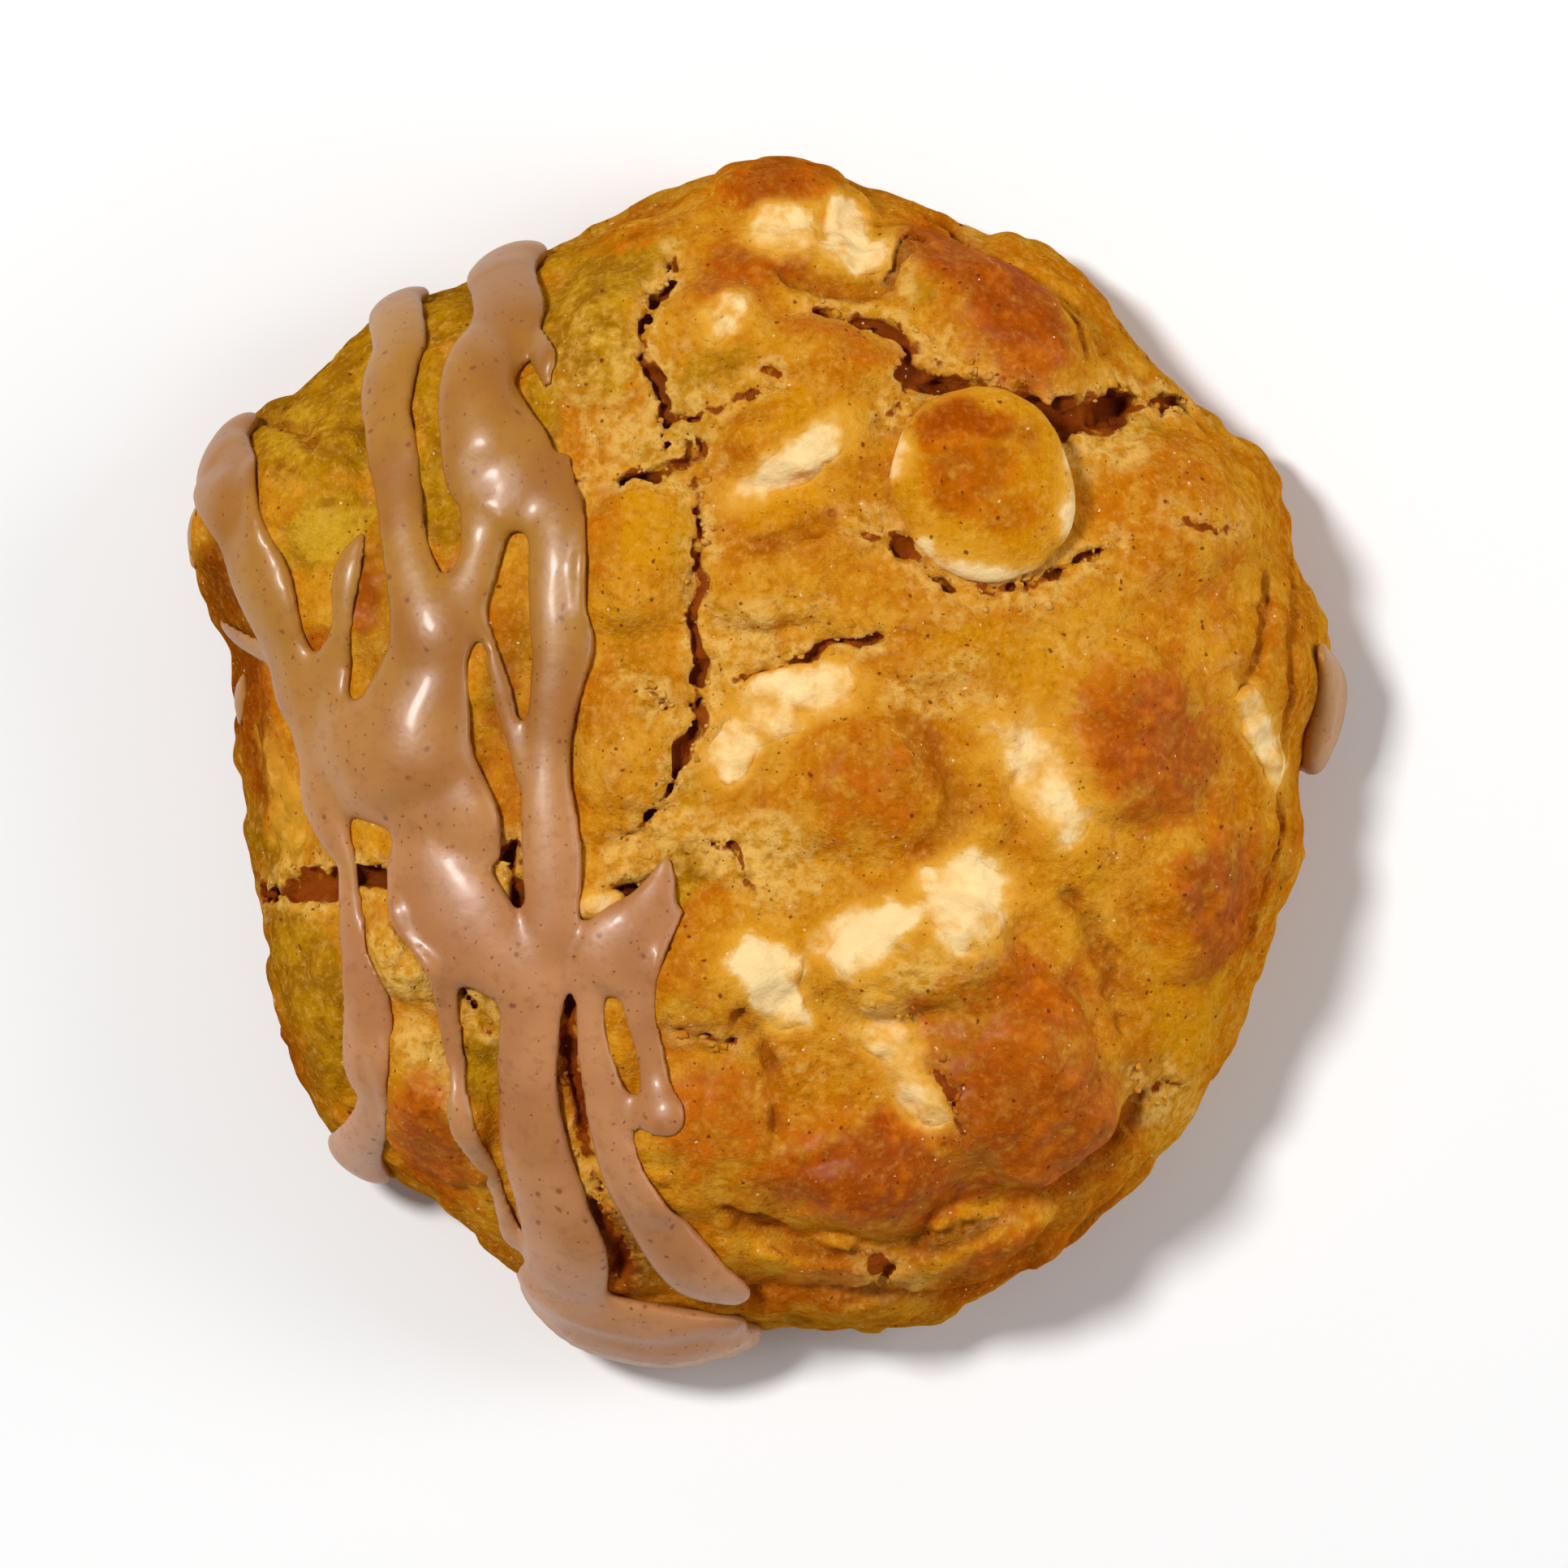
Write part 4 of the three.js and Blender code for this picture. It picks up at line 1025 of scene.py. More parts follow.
# %% Masks
GAP_REACH = 4.0  # how far from a crack its edge is still measured, in mm
FOLD_EDGE = (-1.2, 0.9)
SUNK_DEPTHS = (0.6, 2.4)  # a point counts as sunk between these depths under the crust
BARE_HEIGHTS = (9, 14)  # chocolate only shows over these heights
TOP_HEIGHTS = (17, 27)  # from the wall to the top
WALL_HEIGHTS = (4, 20)  # the wall is in shade at the first height and lit at the second
WALL_SHADE, WALL_SHADE_LEAST = 0.6, 0.1  # in the middle and at the lit right side
WALL_LIGHT_REACH = 90  # mm to the right over which the shade of the wall fades
BARE_EDGE = (0.35, 1.5)  # shares of an oval where chocolate is last bare and first covered


def inside_runs(points, level, runs, width, push):
    """How far each point lies inside the edge of a run, in mm, and below 0 outside."""
    gap = np.full(len(points), -GAP_REACH)
    for _, run in runs:
        low, high = run[:, :3].min(0) - GAP_REACH, run[:, :3].max(0) + GAP_REACH
        near = np.flatnonzero(((points > low) & (points < high)).all(1))
        for a, b in zip(run, run[1:]):
            step = b[:3] - a[:3]
            along = np.clip((points[near] - a[:3]) @ step / max(step @ step, 1e-9), 0, 1)
            apart = ((points[near] - a[:3] - along[:, None] * step) ** 2).sum(1)
            side = np.sqrt(np.maximum(apart - np.minimum(level[near] ** 2, apart), 0))
            half = a[3] + along * (b[3] - a[3])
            inside = half * width[near] - side - push[near] * torn_share(half)
            gap[near] = np.maximum(gap[near], inside)
    return gap


def crack_and_fold(points, level):
    """How far each point lies inside a crack, and how deep in a soft fold, from 0 to 1."""
    sample = at_points(points)
    push = layered(TORN, sample)
    bent = points + np.stack([*wandering(sample), np.zeros_like(push)], 1)
    gap = inside_runs(bent, level, crack_runs, 1 + layered([WAXING], sample), push)
    fold = inside_runs(points, level, groove_runs, np.ones_like(push), push)
    return gap, smoothstep(*FOLD_EDGE, fold)


def bareness(points):
    """How bare the white chocolate lies at each point: 1 in the middle of a piece, 0 away from it."""
    uneven = layered(OVAL_PUSH, at_points(points))
    total = np.zeros(len(points))
    for bare, ovals in CHUNKS.values():
        reach = oval_reach(ovals, points[:, 0], points[:, 1], uneven)
        total = np.maximum(total, bare * (1 - smoothstep(*BARE_EDGE, reach)))
    return total * smoothstep(*BARE_HEIGHTS, points[:, 2])


def bake_masks(points):
    """Everything that the finish of the crust asks of a point."""
    level = form_distance(*points.T) - crust_rise(points)
    gap, fold = crack_and_fold(points, level)
    shade = np.clip(WALL_SHADE - points[:, 0] / WALL_LIGHT_REACH, WALL_SHADE_LEAST, 1)
    wall = (1 - smoothstep(*WALL_HEIGHTS, points[:, 2])) * shade
    return {
        "bare": bareness(points),
        **{name: brushed(points, *STROKES[name]) for name in ("browned", "pale", "olive", "bright")},
        "gap": gap,
        # fold: how deep a point lies in a soft fold, which the finish darkens as painted shade
        "fold": fold,
        "sunk": smoothstep(*SUNK_DEPTHS, -level),
        # low is painted shade: the foot of the wall, most at the left, and the places where the wall
        # and the ropes of icing stand in the light's way
        "low": np.maximum(wall, brushed(points, *STROKES["shaded"])),
        "top": smoothstep(*TOP_HEIGHTS, points[:, 2]),
    }


dough_masks = bake_masks(dough_points)
print("masks", round(time.time() - started, 1), "s")

# %% [markdown]
# ## Finish of the crust
# Baked crust is never one brown. Sugar and fat brown where the dough stood highest, the crumb stays
# pale where it tore, and the spice gives dark specks. The finish starts from a golden ground, lays
# the brushed masks over it, each broken up by noise, and ends with specks and grains of sugar. The
# grains are painted near white: their own pale colour, with painted glints. Painted shade and light
# go on too: the fine relief is darker in its hollows and lighter on its tops, and the foot of the
# wall, the places in the light's way, the soft folds and the inside of the cracks are darkened. The
# same finish turns to cream where a mask says that chocolate lies bare. It hardly shines: the coat
# is thin and only on the top, since steep walls would mirror the pale floor.

# %% Crust
def baked(finish):
    """The baked crust with chocolate that lies bare in it. It closes the finish."""
    cloud = finish.swells(8, 2, 0.5)
    mottle = finish.swells(2.6, 3, 0.6)
    crumbs = finish.swells(1.1, 2, 0.5)
    fine = finish.swells(0.75, 4, 0.75)
    granules = finish.flecks(1.1, 0.7, 0.45, 1.0).most(finish.flecks(0.7, 0.42, 0.4, 0.9))

    def ragged(mask, low, high, break_up=1.1):
        """A soft mask broken up into patches."""
        broken = mask + (mottle - 0.5) * break_up + (crumbs - 0.5) * (break_up * 0.5)
        return broken.between(low, high) * mask.between(0.02, 0.2)

    browned = ragged(finish.painted("browned"), 0.15, 0.95, 1.0)
    gap = finish.painted("gap")
    torn = gap.between(-3.0, -0.4)
    open_crumb = finish.painted("pale").most(torn * 0.6)
    pale_share = ragged(open_crumb, 0.2, 0.85)

    golden = finish.blend(cloud.between(0.35, 0.65), paint(202, 120, 8), paint(216, 146, 24))
    ground = finish.blend(mottle.between(0.45, 0.7) * 0.6, golden, paint(180, 90, 4))
    ground = finish.blend(mottle.between(0.5, 0.34) * 0.45, ground, paint(220, 160, 54))
    olive = finish.blend(mottle.between(0.36, 0.64), paint(150, 98, 1), paint(190, 138, 10))
    ground = finish.blend(ragged(finish.painted("olive"), 0.15, 0.6) * 0.85, ground, olive)
    bright = finish.blend(finish.painted("olive"), paint(216, 146, 8), paint(218, 172, 40))
    ground = finish.blend(ragged(finish.painted("bright"), 0.15, 0.7) * 0.8, ground, bright)
    # the pale crumb is lighter on its raised grains: partly its own grain, partly painted light
    pale = finish.blend(crumbs.between(0.35, 0.6), paint(210, 146, 32), paint(236, 186, 94))
    ground = finish.blend(pale_share * 0.9, ground, pale)
    toasted = (mottle - finish.painted("browned") * 0.2).between(0.2, 0.6)
    brown = finish.blend(toasted, paint(154, 56, 1), paint(204, 102, 3))
    ground = finish.blend(browned * 0.92, ground, brown)
    # painted shade: the crust darkens to brown along the soft folds
    ground = finish.blend(finish.painted("fold") * 0.5, ground, paint(150, 62, 2))
    # painted shade: the crust turns deep brown where the low mask lies
    ground = finish.blend(finish.painted("low") * 0.66, ground, paint(112, 54, 1))
    light_grains = granules * (0.24 - 0.12 * browned + 0.26 * pale_share)
    ground = finish.blend(light_grains, ground, paint(234, 174, 78))
    # painted shade and light on the fine relief: darker in its hollows, lighter on its tops
    ground = finish.blend(fine.between(0.47, 0.34) * 0.36, ground, paint(146, 66, 4))
    painted_grain_light = fine.between(0.53, 0.68) * (0.42 - 0.24 * browned)
    ground = finish.blend(painted_grain_light, ground, paint(236, 178, 78))

    bare = finish.painted("bare")
    thin_crust = (bare + (mottle - 0.5) * 0.6).between(0.02, 0.5) * 0.8
    ground = finish.blend(thin_crust, ground, paint(230, 164, 50))
    bare_share = (bare + (mottle - 0.5) * 0.8 + (crumbs - 0.5) * 0.7).between(0.34, 0.8)
    core = (bare + (mottle - 0.5) * 1.3 + (cloud - 0.5) * 1.2).between(0.42, 0.98)
    cream = finish.blend(core, paint(236, 178, 84), paint(255, 220, 156))
    ground = finish.blend(bare_share, ground, cream)

    speck = finish.flecks(1.5, 0.25, 0.34).most(finish.flecks(0.8, 0.14, 0.26)) * (1 - bare_share)
    ground = finish.blend(speck * 0.8, ground, paint(100, 32, 4))
    # painted shade in the cracks: the ragged edge of each crack and the sunk crumb turn dark
    # red-brown, darker where they lie deeper
    edge = gap + (crumbs - 0.5) * 1.1 + (fine - 0.5) * 0.5
    crack_shade = finish.blend(finish.painted("sunk"), paint(144, 60, 6), paint(112, 32, 2))
    ground = finish.blend(edge.between(-0.12, 0.16).most(finish.painted("sunk")) * 0.94, ground, crack_shade)
    # grains of sugar painted near white: partly their own pale colour, partly painted glints
    sugar_glints = finish.flecks(1.3, 0.14, 0.3)
    ground = finish.blend(sugar_glints * 0.75, ground, paint(255, 224, 190))

    grain = (0.35 + 0.5 * finish.painted("pale")) * crumbs + 0.4 * mottle + 0.64 * fine - 0.74
    grain = grain * (1 - 0.5 * bare - 0.2 * finish.painted("browned"))
    shine = 0.02 + 0.12 * browned + 0.2 * sugar_glints + 0.08 * bare_share
    return finish.close(
        Base_Color=ground,
        Roughness=0.8,
        Normal=finish.bump(grain, 0.55),
        Subsurface_Weight=0.1,
        Subsurface_Radius=(1.0, 0.4, 0.1),
        Subsurface_Scale=0.001,
        Specular_IOR_Level=0.0,
        Coat_Weight=shine * finish.painted("top"),
        Coat_Roughness=0.38,
    )


crust_finish = baked(Finish("baked_crust"))
dough = make_piece(
    "baked_dough", dough_points, dough_faces, crust_finish, "cookie", dough_masks
)

# %% [markdown]
# ## Fewer triangles
# The even grid spends as many triangles on the smooth walls as on the cracks. A Decimate modifier
# merges points where the surface is nearly flat, which saves a third of them and shows nowhere.

# %% Thinning
MOST_TRIANGLES = 190_000
dough.data.calc_loop_triangles()
dough_triangles = len(dough.data.loop_triangles)
thinning = dough.modifiers.new("thinning", "DECIMATE")
thinning.ratio = min(1.0, MOST_TRIANGLES / dough_triangles)
print(dough_triangles, "triangles in the dough; the share kept is", round(thinning.ratio, 3))

# %% [markdown]
# ## Crumbs
# Where the crust tore, loose crumbs stick to the edges. They are real little lumps, each a ball that
# is stretched and dented at random, on random points of the dough near the cracks.

# %% Crumbs
CRUMBS = 420
CRUMB_SIZES = (0.12, 0.5)  # half sizes in mm
CRUMBS_ABOVE = 12  # mm over the floor


def ball_net(rings, segments):
    """Points and triangles of a unit ball."""
    tilts = np.linspace(0, math.pi, rings + 1)[1:-1]
    turns = np.arange(segments) * 2 * math.pi / segments
    belt = [
        (math.sin(tilt) * math.cos(turn), math.sin(tilt) * math.sin(turn), math.cos(tilt))
        for tilt in tilts
        for turn in turns
    ]
    points = np.array([(0, 0, 1), *belt, (0, 0, -1)])
    last = len(points) - 1
    faces = []
    for k in range(segments):
        n = (k + 1) % segments
        faces.append((0, 1 + k, 1 + n))
        faces.append((last, last - segments + n, last - segments + k))
        for ring in range(rings - 2):
            a, b = 1 + ring * segments, 1 + (ring + 1) * segments
            faces += [(a + k, b + k, b + n), (a + k, b + n, a + n)]
    return points, np.array(faces)


CRUMB_STRETCH = (0.55, 1.3)
CRUMB_DENTS = 0.34


def scattered(random, places, sizes, ball):
    """Copies of a ball on places, each of its own size, turn and shape."""
    base, faces = ball
    nets = []
    for place, size in zip(places, sizes):
        turn = np.linalg.qr(random.normal(size=(3, 3)))[0]
        turn *= np.sign(np.linalg.det(turn))
        stretch = random.uniform(*CRUMB_STRETCH, 3)
        dents = 1 + random.uniform(-CRUMB_DENTS, CRUMB_DENTS, (len(base), 1))
        nets.append((place + size * (base * stretch * dents) @ turn.T, faces))
    return joined(nets)


random = np.random.default_rng(7)
beside = smoothstep(-3, -0.2, dough_masks["gap"])
chance = beside * (1 - dough_masks["sunk"]) * (dough_masks["gap"] < 0.1)
chance = chance * (dough_points[:, 2] > CRUMBS_ABOVE)
chosen = random.choice(len(dough_points), CRUMBS, replace=False, p=chance**3 / (chance**3).sum())
least, largest = CRUMB_SIZES
sizes = least + (largest - least) * random.random(CRUMBS) ** 2.5  # most are small
crumb_points, crumb_faces = scattered(random, dough_points[chosen], sizes, ball_net(4, 6))
crumb_masks = bake_masks(crumb_points)
# the crumbs take no painted crack shade
crumb_masks["sunk"] *= 0
crumb_masks["gap"] = np.minimum(crumb_masks["gap"], -0.6)
make_piece("crumbs", crumb_points, [crumb_faces], crust_finish, "cookie", crumb_masks)

# %% [markdown]
# ## White chocolate
# Each piece is a pool that melted between lumps of dough and set again, level with the crust. Its
# body is a rounded slab between two heights over the crust, with the outline of its ovals. The grain
# of the crust goes on over it, and the shared finish lets golden crust creep in from its edge.

# %% Chocolate
CHUNK_CROWN = 0.15  # how far a piece stands over the crust, in mm
CHUNK_ROOT = 2.4  # and how deep it goes
CHUNK_STEP = 0.3
CHUNK_ROUNDING = 4  # power of the rounded slab: higher is squarer

chocolate_finish = baked(Finish("white_chocolate"))


def chunk_mesh(ovals):
    """A piece of chocolate flush with the crust."""
    spread = np.array([[x, y, crust_point(x, y)[2]] for x, y, *_ in ovals])
    longest = max(max(length, width) for _, _, length, width, _ in ovals)
    reach = np.array([longest + 1, longest + 1, 6])
    block = Block(spread.min(0) - reach, spread.max(0) + reach, CHUNK_STEP)
    x, y, z = block.whole()
    sample = over_block(x, y, z)
    level = crust_level(block) - layered(FINE_GRAIN + CRUMBLY, sample)
    apart = np.maximum(oval_reach(ovals, x, y, layered(OVAL_PUSH, sample)), 0)
    middle = -0.5 * (CHUNK_ROOT - CHUNK_CROWN)
    half = 0.5 * (CHUNK_ROOT + CHUNK_CROWN)
    size = min(width for _, _, _, width, _ in ovals)
    slab = apart**CHUNK_ROUNDING + np.abs((level - middle) / half) ** CHUNK_ROUNDING
    return surface_of((slab ** (1 / CHUNK_ROUNDING) - 1) * min(size, half), block)


for name, (_, ovals) in CHUNKS.items():
    points, faces = chunk_mesh(ovals)
    points = relaxed(points, faces, 1)
    masks = bake_masks(points)
    # the chocolate takes no painted crack shade
    masks["sunk"] *= 0
    masks["gap"] = np.minimum(masks["gap"], -1)
    make_piece("white_" + name, points, [faces], chocolate_finish, name, masks)

# %% [markdown]
# ## The wafer
# A whole disc of white chocolate, domed on top and browned, stands tilted in the crust with its lower
# left edge lifted and still cream. It is a field too, so that its rim can ripple where it softened.

# %% Wafer
WAFER_CENTRE = (18.8, 23.4)
WAFER_RADIUS = 8.0
WAFER_LONG_RADIUS = 8.8
WAFER_TURN = -66  # direction of the long radius, in degrees
WAFER_CROWN = 2.7
WAFER_ROOT = 1.6
WAFER_SINK = 1.3
WAFER_TILT = np.array([0.13, 0.16, 1.0])
WAFER_RIPPLE = ((3.4, 0.3, 51), (1.4, 0.12, 52))  # size, depth and seed
WAFER_REACH = np.array([10, 10, 5])

wafer_finish = baked(Finish("toasted_wafer"))


def wafer_mesh():
    """The disc: a lens with a blunt rim, thicker over its middle plane than under it."""
    centre = crust_point(*WAFER_CENTRE) - np.array([0, 0, WAFER_SINK])
    up = WAFER_TILT / np.linalg.norm(WAFER_TILT)
    block = Block(centre - WAFER_REACH, centre + WAFER_REACH, CHUNK_STEP)
    x, y, z = block.whole()
    dx, dy, dz = x - centre[0], y - centre[1], z - centre[2]
    height = dx * up[0] + dy * up[1] + dz * up[2]
    turn = math.radians(WAFER_TURN)
    along = dx * math.cos(turn) + dy * math.sin(turn)
    apart = dx**2 + dy**2 + dz**2 - height**2
    stretch = 1 - (WAFER_RADIUS / WAFER_LONG_RADIUS) ** 2
    radius = np.sqrt(np.maximum(apart - stretch * along**2, 0))
    ripple = layered(WAFER_RIPPLE, over_block(x, y, z))
    thick = np.where(height > 0, WAFER_CROWN, WAFER_ROOT)
    lens = ((radius + ripple) / WAFER_RADIUS) ** 3 + (np.abs(height) / thick) ** 2
    points, faces = surface_of((lens**0.4 - 1) * WAFER_CROWN, block)
    return relaxed(points, faces, 3), faces


WAFER_BROWNED = [
    (16.6, 29.0, 5.6, 3.4, 10, 1.0), (17.4, 24.6, 4.6, 4.4, -20, 0.75),
    (22.0, 28.4, 3.0, 3, -30, 0.7), (20.4, 20.6, 3.4, 2.6, -30, 0.6),
]
WAFER_CREAM = [
    # direction in degrees, width in mm, then how far to each side it is full and where it is gone
    (253, 3.2, 26, 72), (0, 1.8, 14, 48), (158, 2.4, 8, 24),
]
CREAM_LEAST = -1.7  # width of the cream rim elsewhere: below 0 the toasted top reaches the edge
CREAM_RAGGED = ((2.4, 0.7, 161),)  # size, push and seed


def wafer_cream(points):
    """The rim that stayed cream: thick at the lower left, thin on the right and at the upper left."""
    dx, dy = points[:, 0] - WAFER_CENTRE[0], points[:, 1] - WAFER_CENTRE[1]
    turn = np.degrees(np.arctan2(dy, dx))
    wide = CREAM_LEAST
    for direction, width, full, gone in WAFER_CREAM:
        apart = np.abs((turn - direction + 180) % 360 - 180)
        wide = wide + width * (1 - smoothstep(full, gone, apart))
    inward = WAFER_RADIUS - np.hypot(dx, dy) + layered(CREAM_RAGGED, at_points(points))
    return 1 - smoothstep(wide - 1.8, wide + 2.2, inward)


points, faces = wafer_mesh()
masks = {name: 0 * points[:, 0] for name in dough_masks}
masks["bare"] = wafer_cream(points)
masks["browned"] = brushed(points, WAFER_BROWNED, 151)
masks["bright"] += 0.4
masks["gap"] -= GAP_REACH
name = "chocolate_wafer"
make_piece("white_" + name, points, [faces], wafer_finish, name, masks)

# %% [markdown]
# ## Icing
# Runny icing poured from a spoon falls in ropes, sinks into rounded beads and runs together in pools.
# Each rope is a bead along a run. The beads join with a soft minimum, which draws the small webs that
# real icing has wherever two ropes touch. It ends a little way inside the dough, where nobody sees.

# %% Icing ropes
ROPES = [
    # stops of x, y and width, and a height where the rope hangs down the wall
    [(-47.6, 28.4, 5.4, 11), (-47.0, 26, 6.0, 13), (-46.1, 23.4, 6.0), (-45.0, 20.4, 5.4),
     (-44.3, 17.4, 5.8), (-43.2, 14, 5.8), (-41.8, 10.2, 4.8), (-40.4, 6.4, 5.2)],
    [(-48.4, 12.2, 1.8, 13), (-46.4, 11, 2.0), (-43.2, 9.2, 2.0)],
    [(-49.6, 23.4, 1.2, 14), (-50.8, 21, 2.8, 11), (-50.4, 17.6, 1.6, 9)],
    [(-46.4, 7.2, 1.0, 13), (-47.0, 5.4, 2.6, 11), (-46.2, 3.4, 1.2, 9.5)],
    [(-35.1, 19.4, 0.9), (-36.1, 17.0, 2.1), (-36.6, 14.6, 2.4), (-36.8, 11.2, 1.8),
     (-37.4, 8.4, 3.0), (-37.6, 6, 4)],
    [(-31.6, 39.8, 4.4, 11), (-31.7, 38.4, 4.4, 13), (-31.9, 36.6, 4.4), (-32.5, 33.1, 4.6),
     (-32.6, 29.4, 4.4), (-32.1, 26.2, 4.0), (-31.8, 23.2, 3.5), (-31.4, 19.5, 3.6),
     (-30.6, 16.0, 4.2), (-29.6, 12.4, 5.4), (-29.2, 8.6, 6.2), (-30.4, 3.4, 8)],
    [(-22.0, 42.6, 6.2, 11), (-22.3, 41, 6.0, 14), (-22.4, 39.2, 5.6), (-22.7, 36.7, 6),
     (-24.3, 33.8, 5.3), (-24.6, 31.1, 5.6), (-23.8, 28.1, 7.2), (-23, 25.6, 8.2),
     (-22.9, 23.2, 6.4), (-24.2, 20.6, 3.8), (-25.0, 17.4, 2.8), (-26.6, 14.2, 3.2),
     (-28.4, 11, 5)],
    [(-22.6, 19.8, 1.0), (-23.8, 17, 1.6), (-25.2, 13.6, 2.0), (-26.4, 11, 2.4)],
    [(-20.6, 36.4, 1.2), (-19.3, 36.2, 1.4), (-18.7, 34.3, 2.4), (-18.5, 32.4, 1.4)],
    [(-17.4, 25.9, 1.4), (-18, 23.5, 3.0), (-17.9, 20.8, 4.4), (-17.6, 17.1, 5.0),
     (-17.5, 13.0, 5.0), (-17.5, 9.7, 4.8), (-18.0, 6, 4.0), (-18.6, 1.1, 3.6), (-18.7, -2.9, 4.0),
     (-18.3, -8.6, 4.5), (-18.4, -12.9, 4), (-18.7, -15.4, 3.6)],
    [(-18.7, -15, 3.6), (-19.5, -18, 4), (-20.2, -22, 4.4), (-20.5, -26.2, 4.6),
     (-20.3, -30.5, 4.8), (-19.6, -34.6, 5.4), (-18.4, -39, 6.2), (-17.4, -43.2, 6.8),
     (-16.8, -47.4, 7, 11)],
    [(-21.4, 23.4, 4), (-19.4, 21, 3)],
    [(-25.2, 12.8, 1.2), (-24.0, 10.6, 1.2), (-23.4, 8.4, 1.4), (-22.8, 6.1, 1.8),
     (-22.3, 3.9, 1.9), (-21.6, 1.6, 2.1), (-20.8, -1, 2.2)],
    [(-40.4, 6.6, 4.6), (-38.6, 1, 4.4), (-38.4, -3.4, 4.0), (-37.4, -6.6, 3), (-36.3, -9, 2.0),
     (-36.0, -12.3, 2.0), (-35.6, -15.4, 2.8), (-34.7, -18.5, 3.9), (-34.3, -23.1, 4.4),
     (-34, -27.2, 4.7), (-33.9, -30.4, 3.4), (-34.8, -33.4, 4.6, 13), (-36.2, -35.8, 5.4, 9.5)],
    [(-28.7, 10, 3.0), (-28.7, 6, 3.4), (-27.7, 2.5, 3.8), (-26.8, -2.4, 4.2), (-25.4, -5.6, 4.0),
     (-23.9, -8.0, 2.2)],
    [(-30.0, -7.6, 4), (-28.8, -10.6, 7.0), (-27.0, -14.0, 8.2), (-23.6, -17, 6.0),
     (-20.4, -19.4, 5)],
    [(-28.8, -14, 3.2), (-28.2, -18.5, 2.6), (-27.5, -22.2, 2.1), (-26.7, -27, 1.9),
     (-25.3, -31.5, 1.8), (-23.4, -37.4, 1.8), (-21.6, -41.4, 2.6, 18)],
    [(-8.5, -9.2, 1.2), (-8.9, -10.8, 2.2), (-10, -13.4, 4), (-12.6, -16.6, 6.0),
     (-14.8, -18.8, 3.4), (-15.0, -21, 2.4), (-14.7, -25.4, 2.6), (-13.8, -29.1, 3.4),
     (-13.2, -31.5, 3.6), (-12.2, -34.6, 3.8), (-10.6, -38.2, 4.2), (-8.4, -41.6, 4.6),
     (-5.6, -45.1, 4.4), (-2.8, -46.8, 3.4)],
    [(-7.1, -13.6, 1.3), (-8.2, -15.4, 1.8), (-10, -17.6, 3.4), (-10.6, -21, 3.2),
     (-10, -24.9, 2.3), (-9.2, -28.5, 2.5), (-8.5, -30.6, 3)],
    [(-8.6, -30.4, 2.6), (-11, -30.6, 2.2), (-13, -31, 2.6)],
    [(-19.4, -45.2, 3.4, 10), (-17.2, -48.2, 7.4, 8.6), (-13.8, -50.2, 10.6, 8),
     (-9.4, -51.2, 11, 7.4), (-6, -50.8, 9.4, 7.2), (-3.4, -49.6, 5.4, 7.6)],
    [(-17.6, -45.4, 6, 14), (-13.4, -46.6, 7.4, 13.4), (-9, -47.6, 7.2, 12.6),
     (-4.6, -47.6, 5.4, 12)],
    [(46.6, 8.6, 2.4, 13), (48.6, 5.8, 5.4, 9), (48.8, 3.4, 7.4, 6.8), (48.6, 1.8, 4.8, 4.8)],
]
POOLS = [
    # x, y, half length, half width, turn, thickness
    (-34.6, -0.4, 6.8, 4.6, -35, 1.5),
    (-29.6, -2.0, 7.0, 4.6, -48, 1.8),
    (-27, -13, 5.4, 4.0, -48, 1.2),
    (-12.8, -17.2, 3.4, 3.0, 20, 1.2),
]
BEAD_HEIGHT = 0.4  # height of a bead, as a share of its width
BEAD_LEAST = 0.7
BEAD_MOST = 2.1
BEAD_SETTLED = 0.62  # how much of its height a bead keeps as it settles
BEAD_HANGING = 4.0  # how much thicker a bead may be where it hangs on the wall
BEAD_LIFT = 0.4  # how far the middle of a bead stands over the crust, as a share of its half height
BEAD_SPREAD = 1.22  # how much wider it gets meanwhile
HANGING = (8, 18)  # heights between which icing counts as hanging on the wall
ICING_STEP = 0.34
ICING_ROOT = 0.7  # how far the icing reaches under the crust
ICING_SWELLS = ((4.5, 0.1, 61),)  # size, depth and seed
ICING_LOWEST = 0.4  # it ends this high over the floor
WEB = 0.5  # size of the fillet where two ropes meet


def icing_field(block):
    """The field of all the icing in a block."""
    level = crust_level(block, smoothed=True)
    total = np.full(block.shape, 5.0, np.float32)
    for stops in ROPES:
        run = crust_run(stops)
        cut, aside, half = beside_run(block, level, run, run[:, 3].max() + 2.5)
        most = BEAD_MOST + BEAD_HANGING * (1 - smoothstep(*HANGING, block.axes[2][cut[2]]))
        tall = np.minimum(np.maximum(2 * BEAD_HEIGHT * half, BEAD_LEAST), most) * BEAD_SETTLED
        up = np.abs(level[cut] - BEAD_LIFT * tall) / tall
        bead = np.sqrt((aside / (half * BEAD_SPREAD)) ** 2 + up**2) - 1
        total[cut] = soft_least(total[cut], bead * np.minimum(half, tall), WEB)
    for *oval, thick in POOLS:
        centre = crust_point(*oval[:2])
        reach = np.array([oval[2] + 2, oval[2] + 2, 6])
        cut, (x, y, _) = block.part(centre - reach, centre + reach)
        along, across = oval_apart(x, y, oval)
        lens = ((along**2 + across**2) ** 1.5 + np.abs(level[cut] / thick) ** 3) ** (1 / 3) - 1
        total[cut] = soft_least(total[cut], lens * thick, WEB)
    x, y, z = block.whole()
    total = total + layered(ICING_SWELLS, over_block(x, y, z))
    total = soft_most(total, -level - ICING_ROOT, 0.3)
    return np.maximum(total, ICING_LOWEST - z)


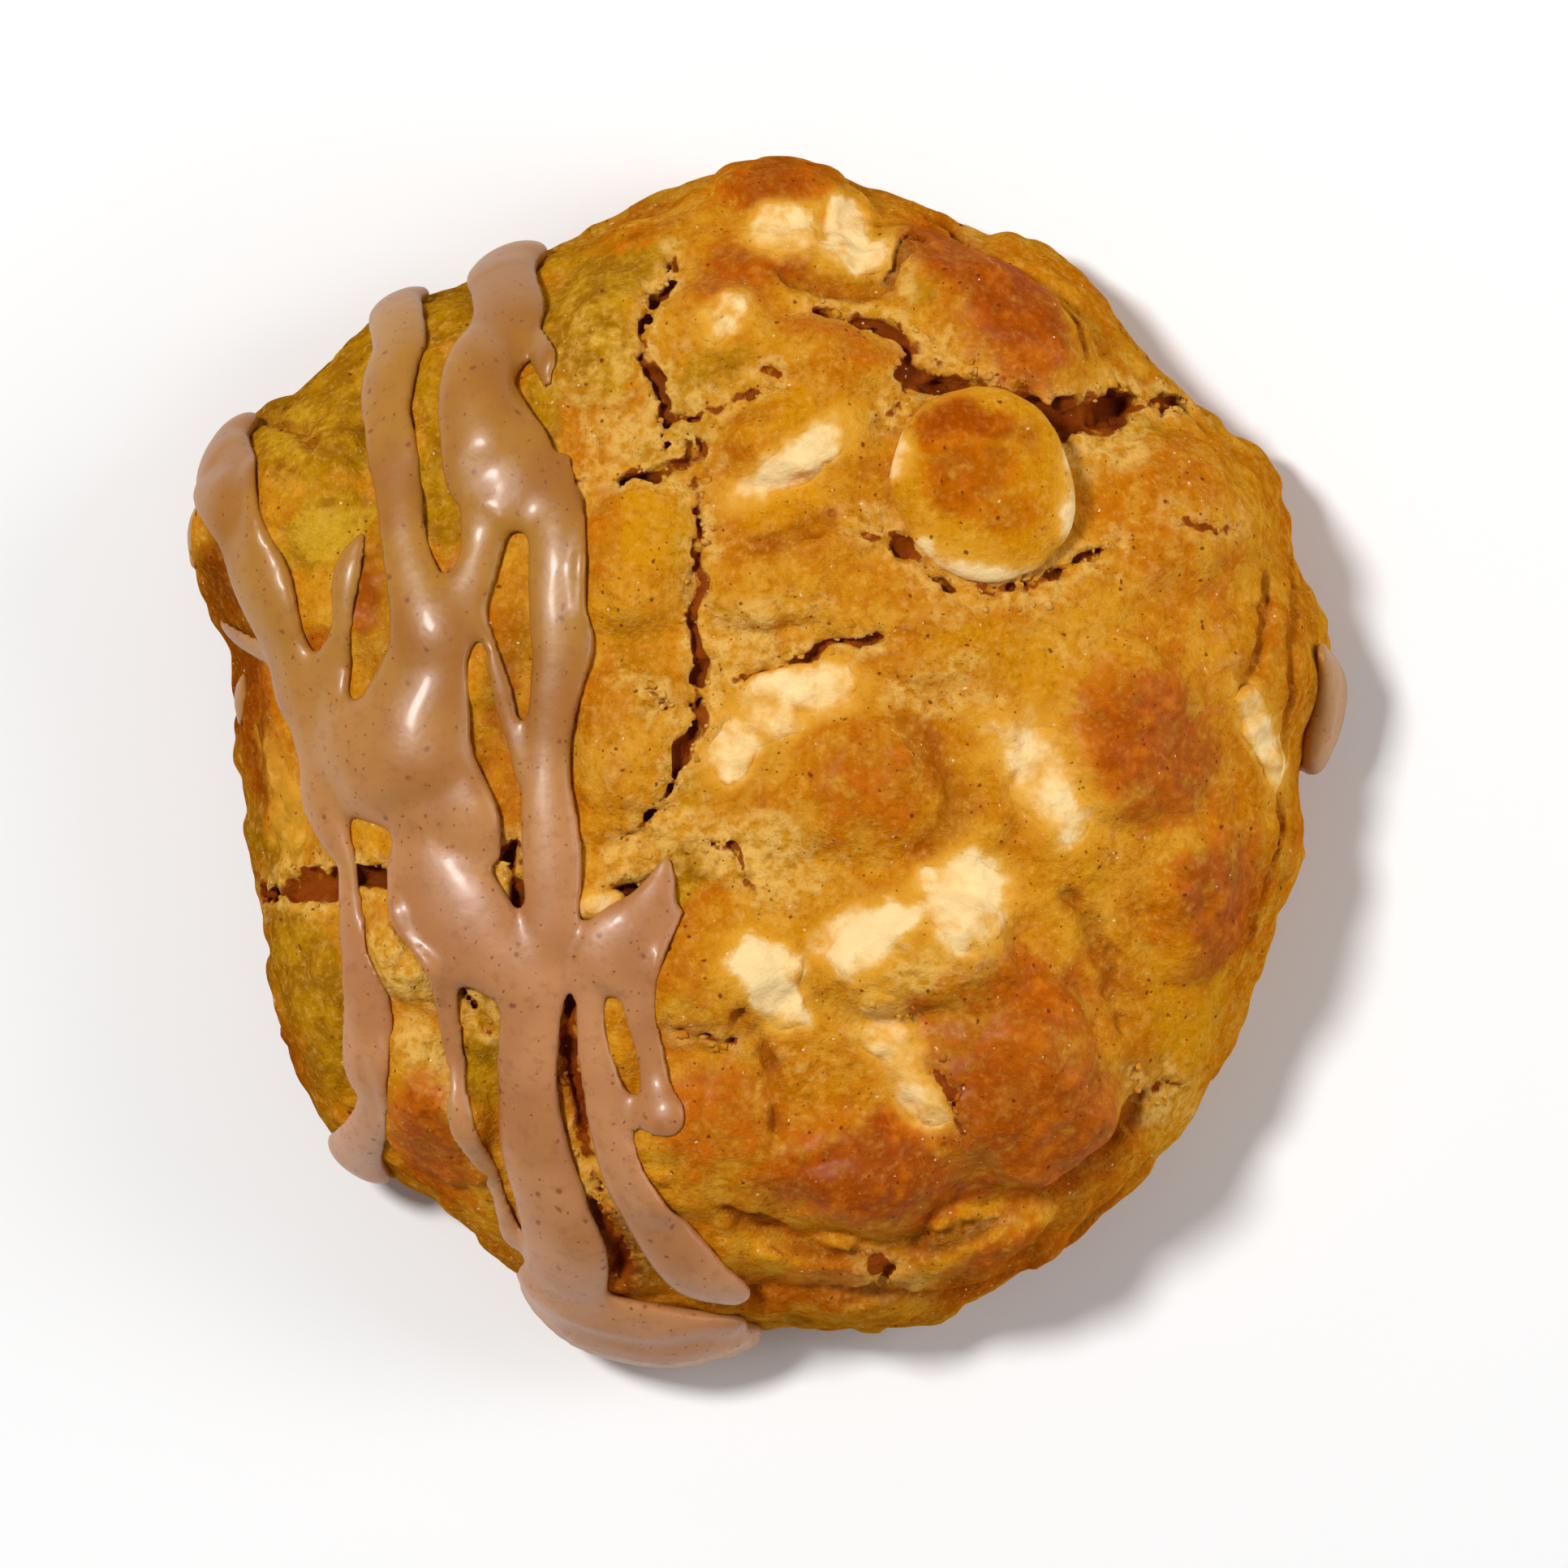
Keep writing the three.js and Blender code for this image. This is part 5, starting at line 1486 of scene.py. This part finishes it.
ICING_BOXES = [([-56, -58, -1], [1.5, 50, 41]), ([43, -2, -1], [54, 13, 18])]
icing_nets = []
for low, high in ICING_BOXES:
    box = Block(low, high, ICING_STEP)
    icing_nets.append(surface_of(icing_field(box), box))
icing_points, icing_faces = joined(icing_nets)
icing_points = relaxed(icing_points, icing_faces, 4)
print("icing", len(icing_points), "points", round(time.time() - started, 1), "s")

# %% [markdown]
# ## Finish of the icing
# The icing is milky brown with dots of spice. It is more golden where it lies thin and at the top of
# the cookie, and rosier in the lower half. Weak subsurface light keeps it from looking like paint,
# and a thin clear coat gives the small, soft highlights along the beads.

# %% Icing finish
icing = Finish("spiced_icing")
drift = icing.swells(11, 2, 0.5)
upper = icing.blend(drift.between(0.38, 0.6), paint(163, 103, 28), paint(175, 119, 36))
lower = icing.blend(drift.between(0.38, 0.6), paint(180, 119, 68), paint(195, 134, 84))
milky = icing.blend(icing.painted("pink"), upper, lower)
milky = icing.blend(icing.painted("thin") * 0.4, milky, paint(186, 136, 66))
milky = icing.blend(icing.swells(1.2, 3, 0.65).between(0.5, 0.7) * 0.35, milky, paint(152, 90, 42))
dots = icing.flecks(1.9, 0.4, 0.4, 0.7).most(icing.flecks(0.8, 0.17, 0.4))
milky = icing.blend(dots * 0.75, milky, paint(126, 58, 18))
icing_finish = icing.close(
    Base_Color=milky,
    Roughness=0.42,
    Normal=icing.bump(icing.swells(1.6, 2, 0.5), 0.12, 0.5),
    Subsurface_Weight=0.2,
    Subsurface_Radius=(1.0, 0.55, 0.3),
    Subsurface_Scale=0.002,
    Coat_Weight=0.13,
    Coat_Roughness=0.15,
)
icing_level = form_distance(*icing_points.T) - crust_rise(icing_points)
icing_masks = {
    "thin": 1 - smoothstep(0.1, 0.9, icing_level),
    "pink": 1 - smoothstep(-18, 14, icing_points[:, 1]),
}
make_piece(
    "spiced_icing", icing_points, [icing_faces], icing_finish, "cookie", icing_masks
)

# %% Finish
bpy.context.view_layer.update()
print("made in", round(time.time() - started, 1), "s")
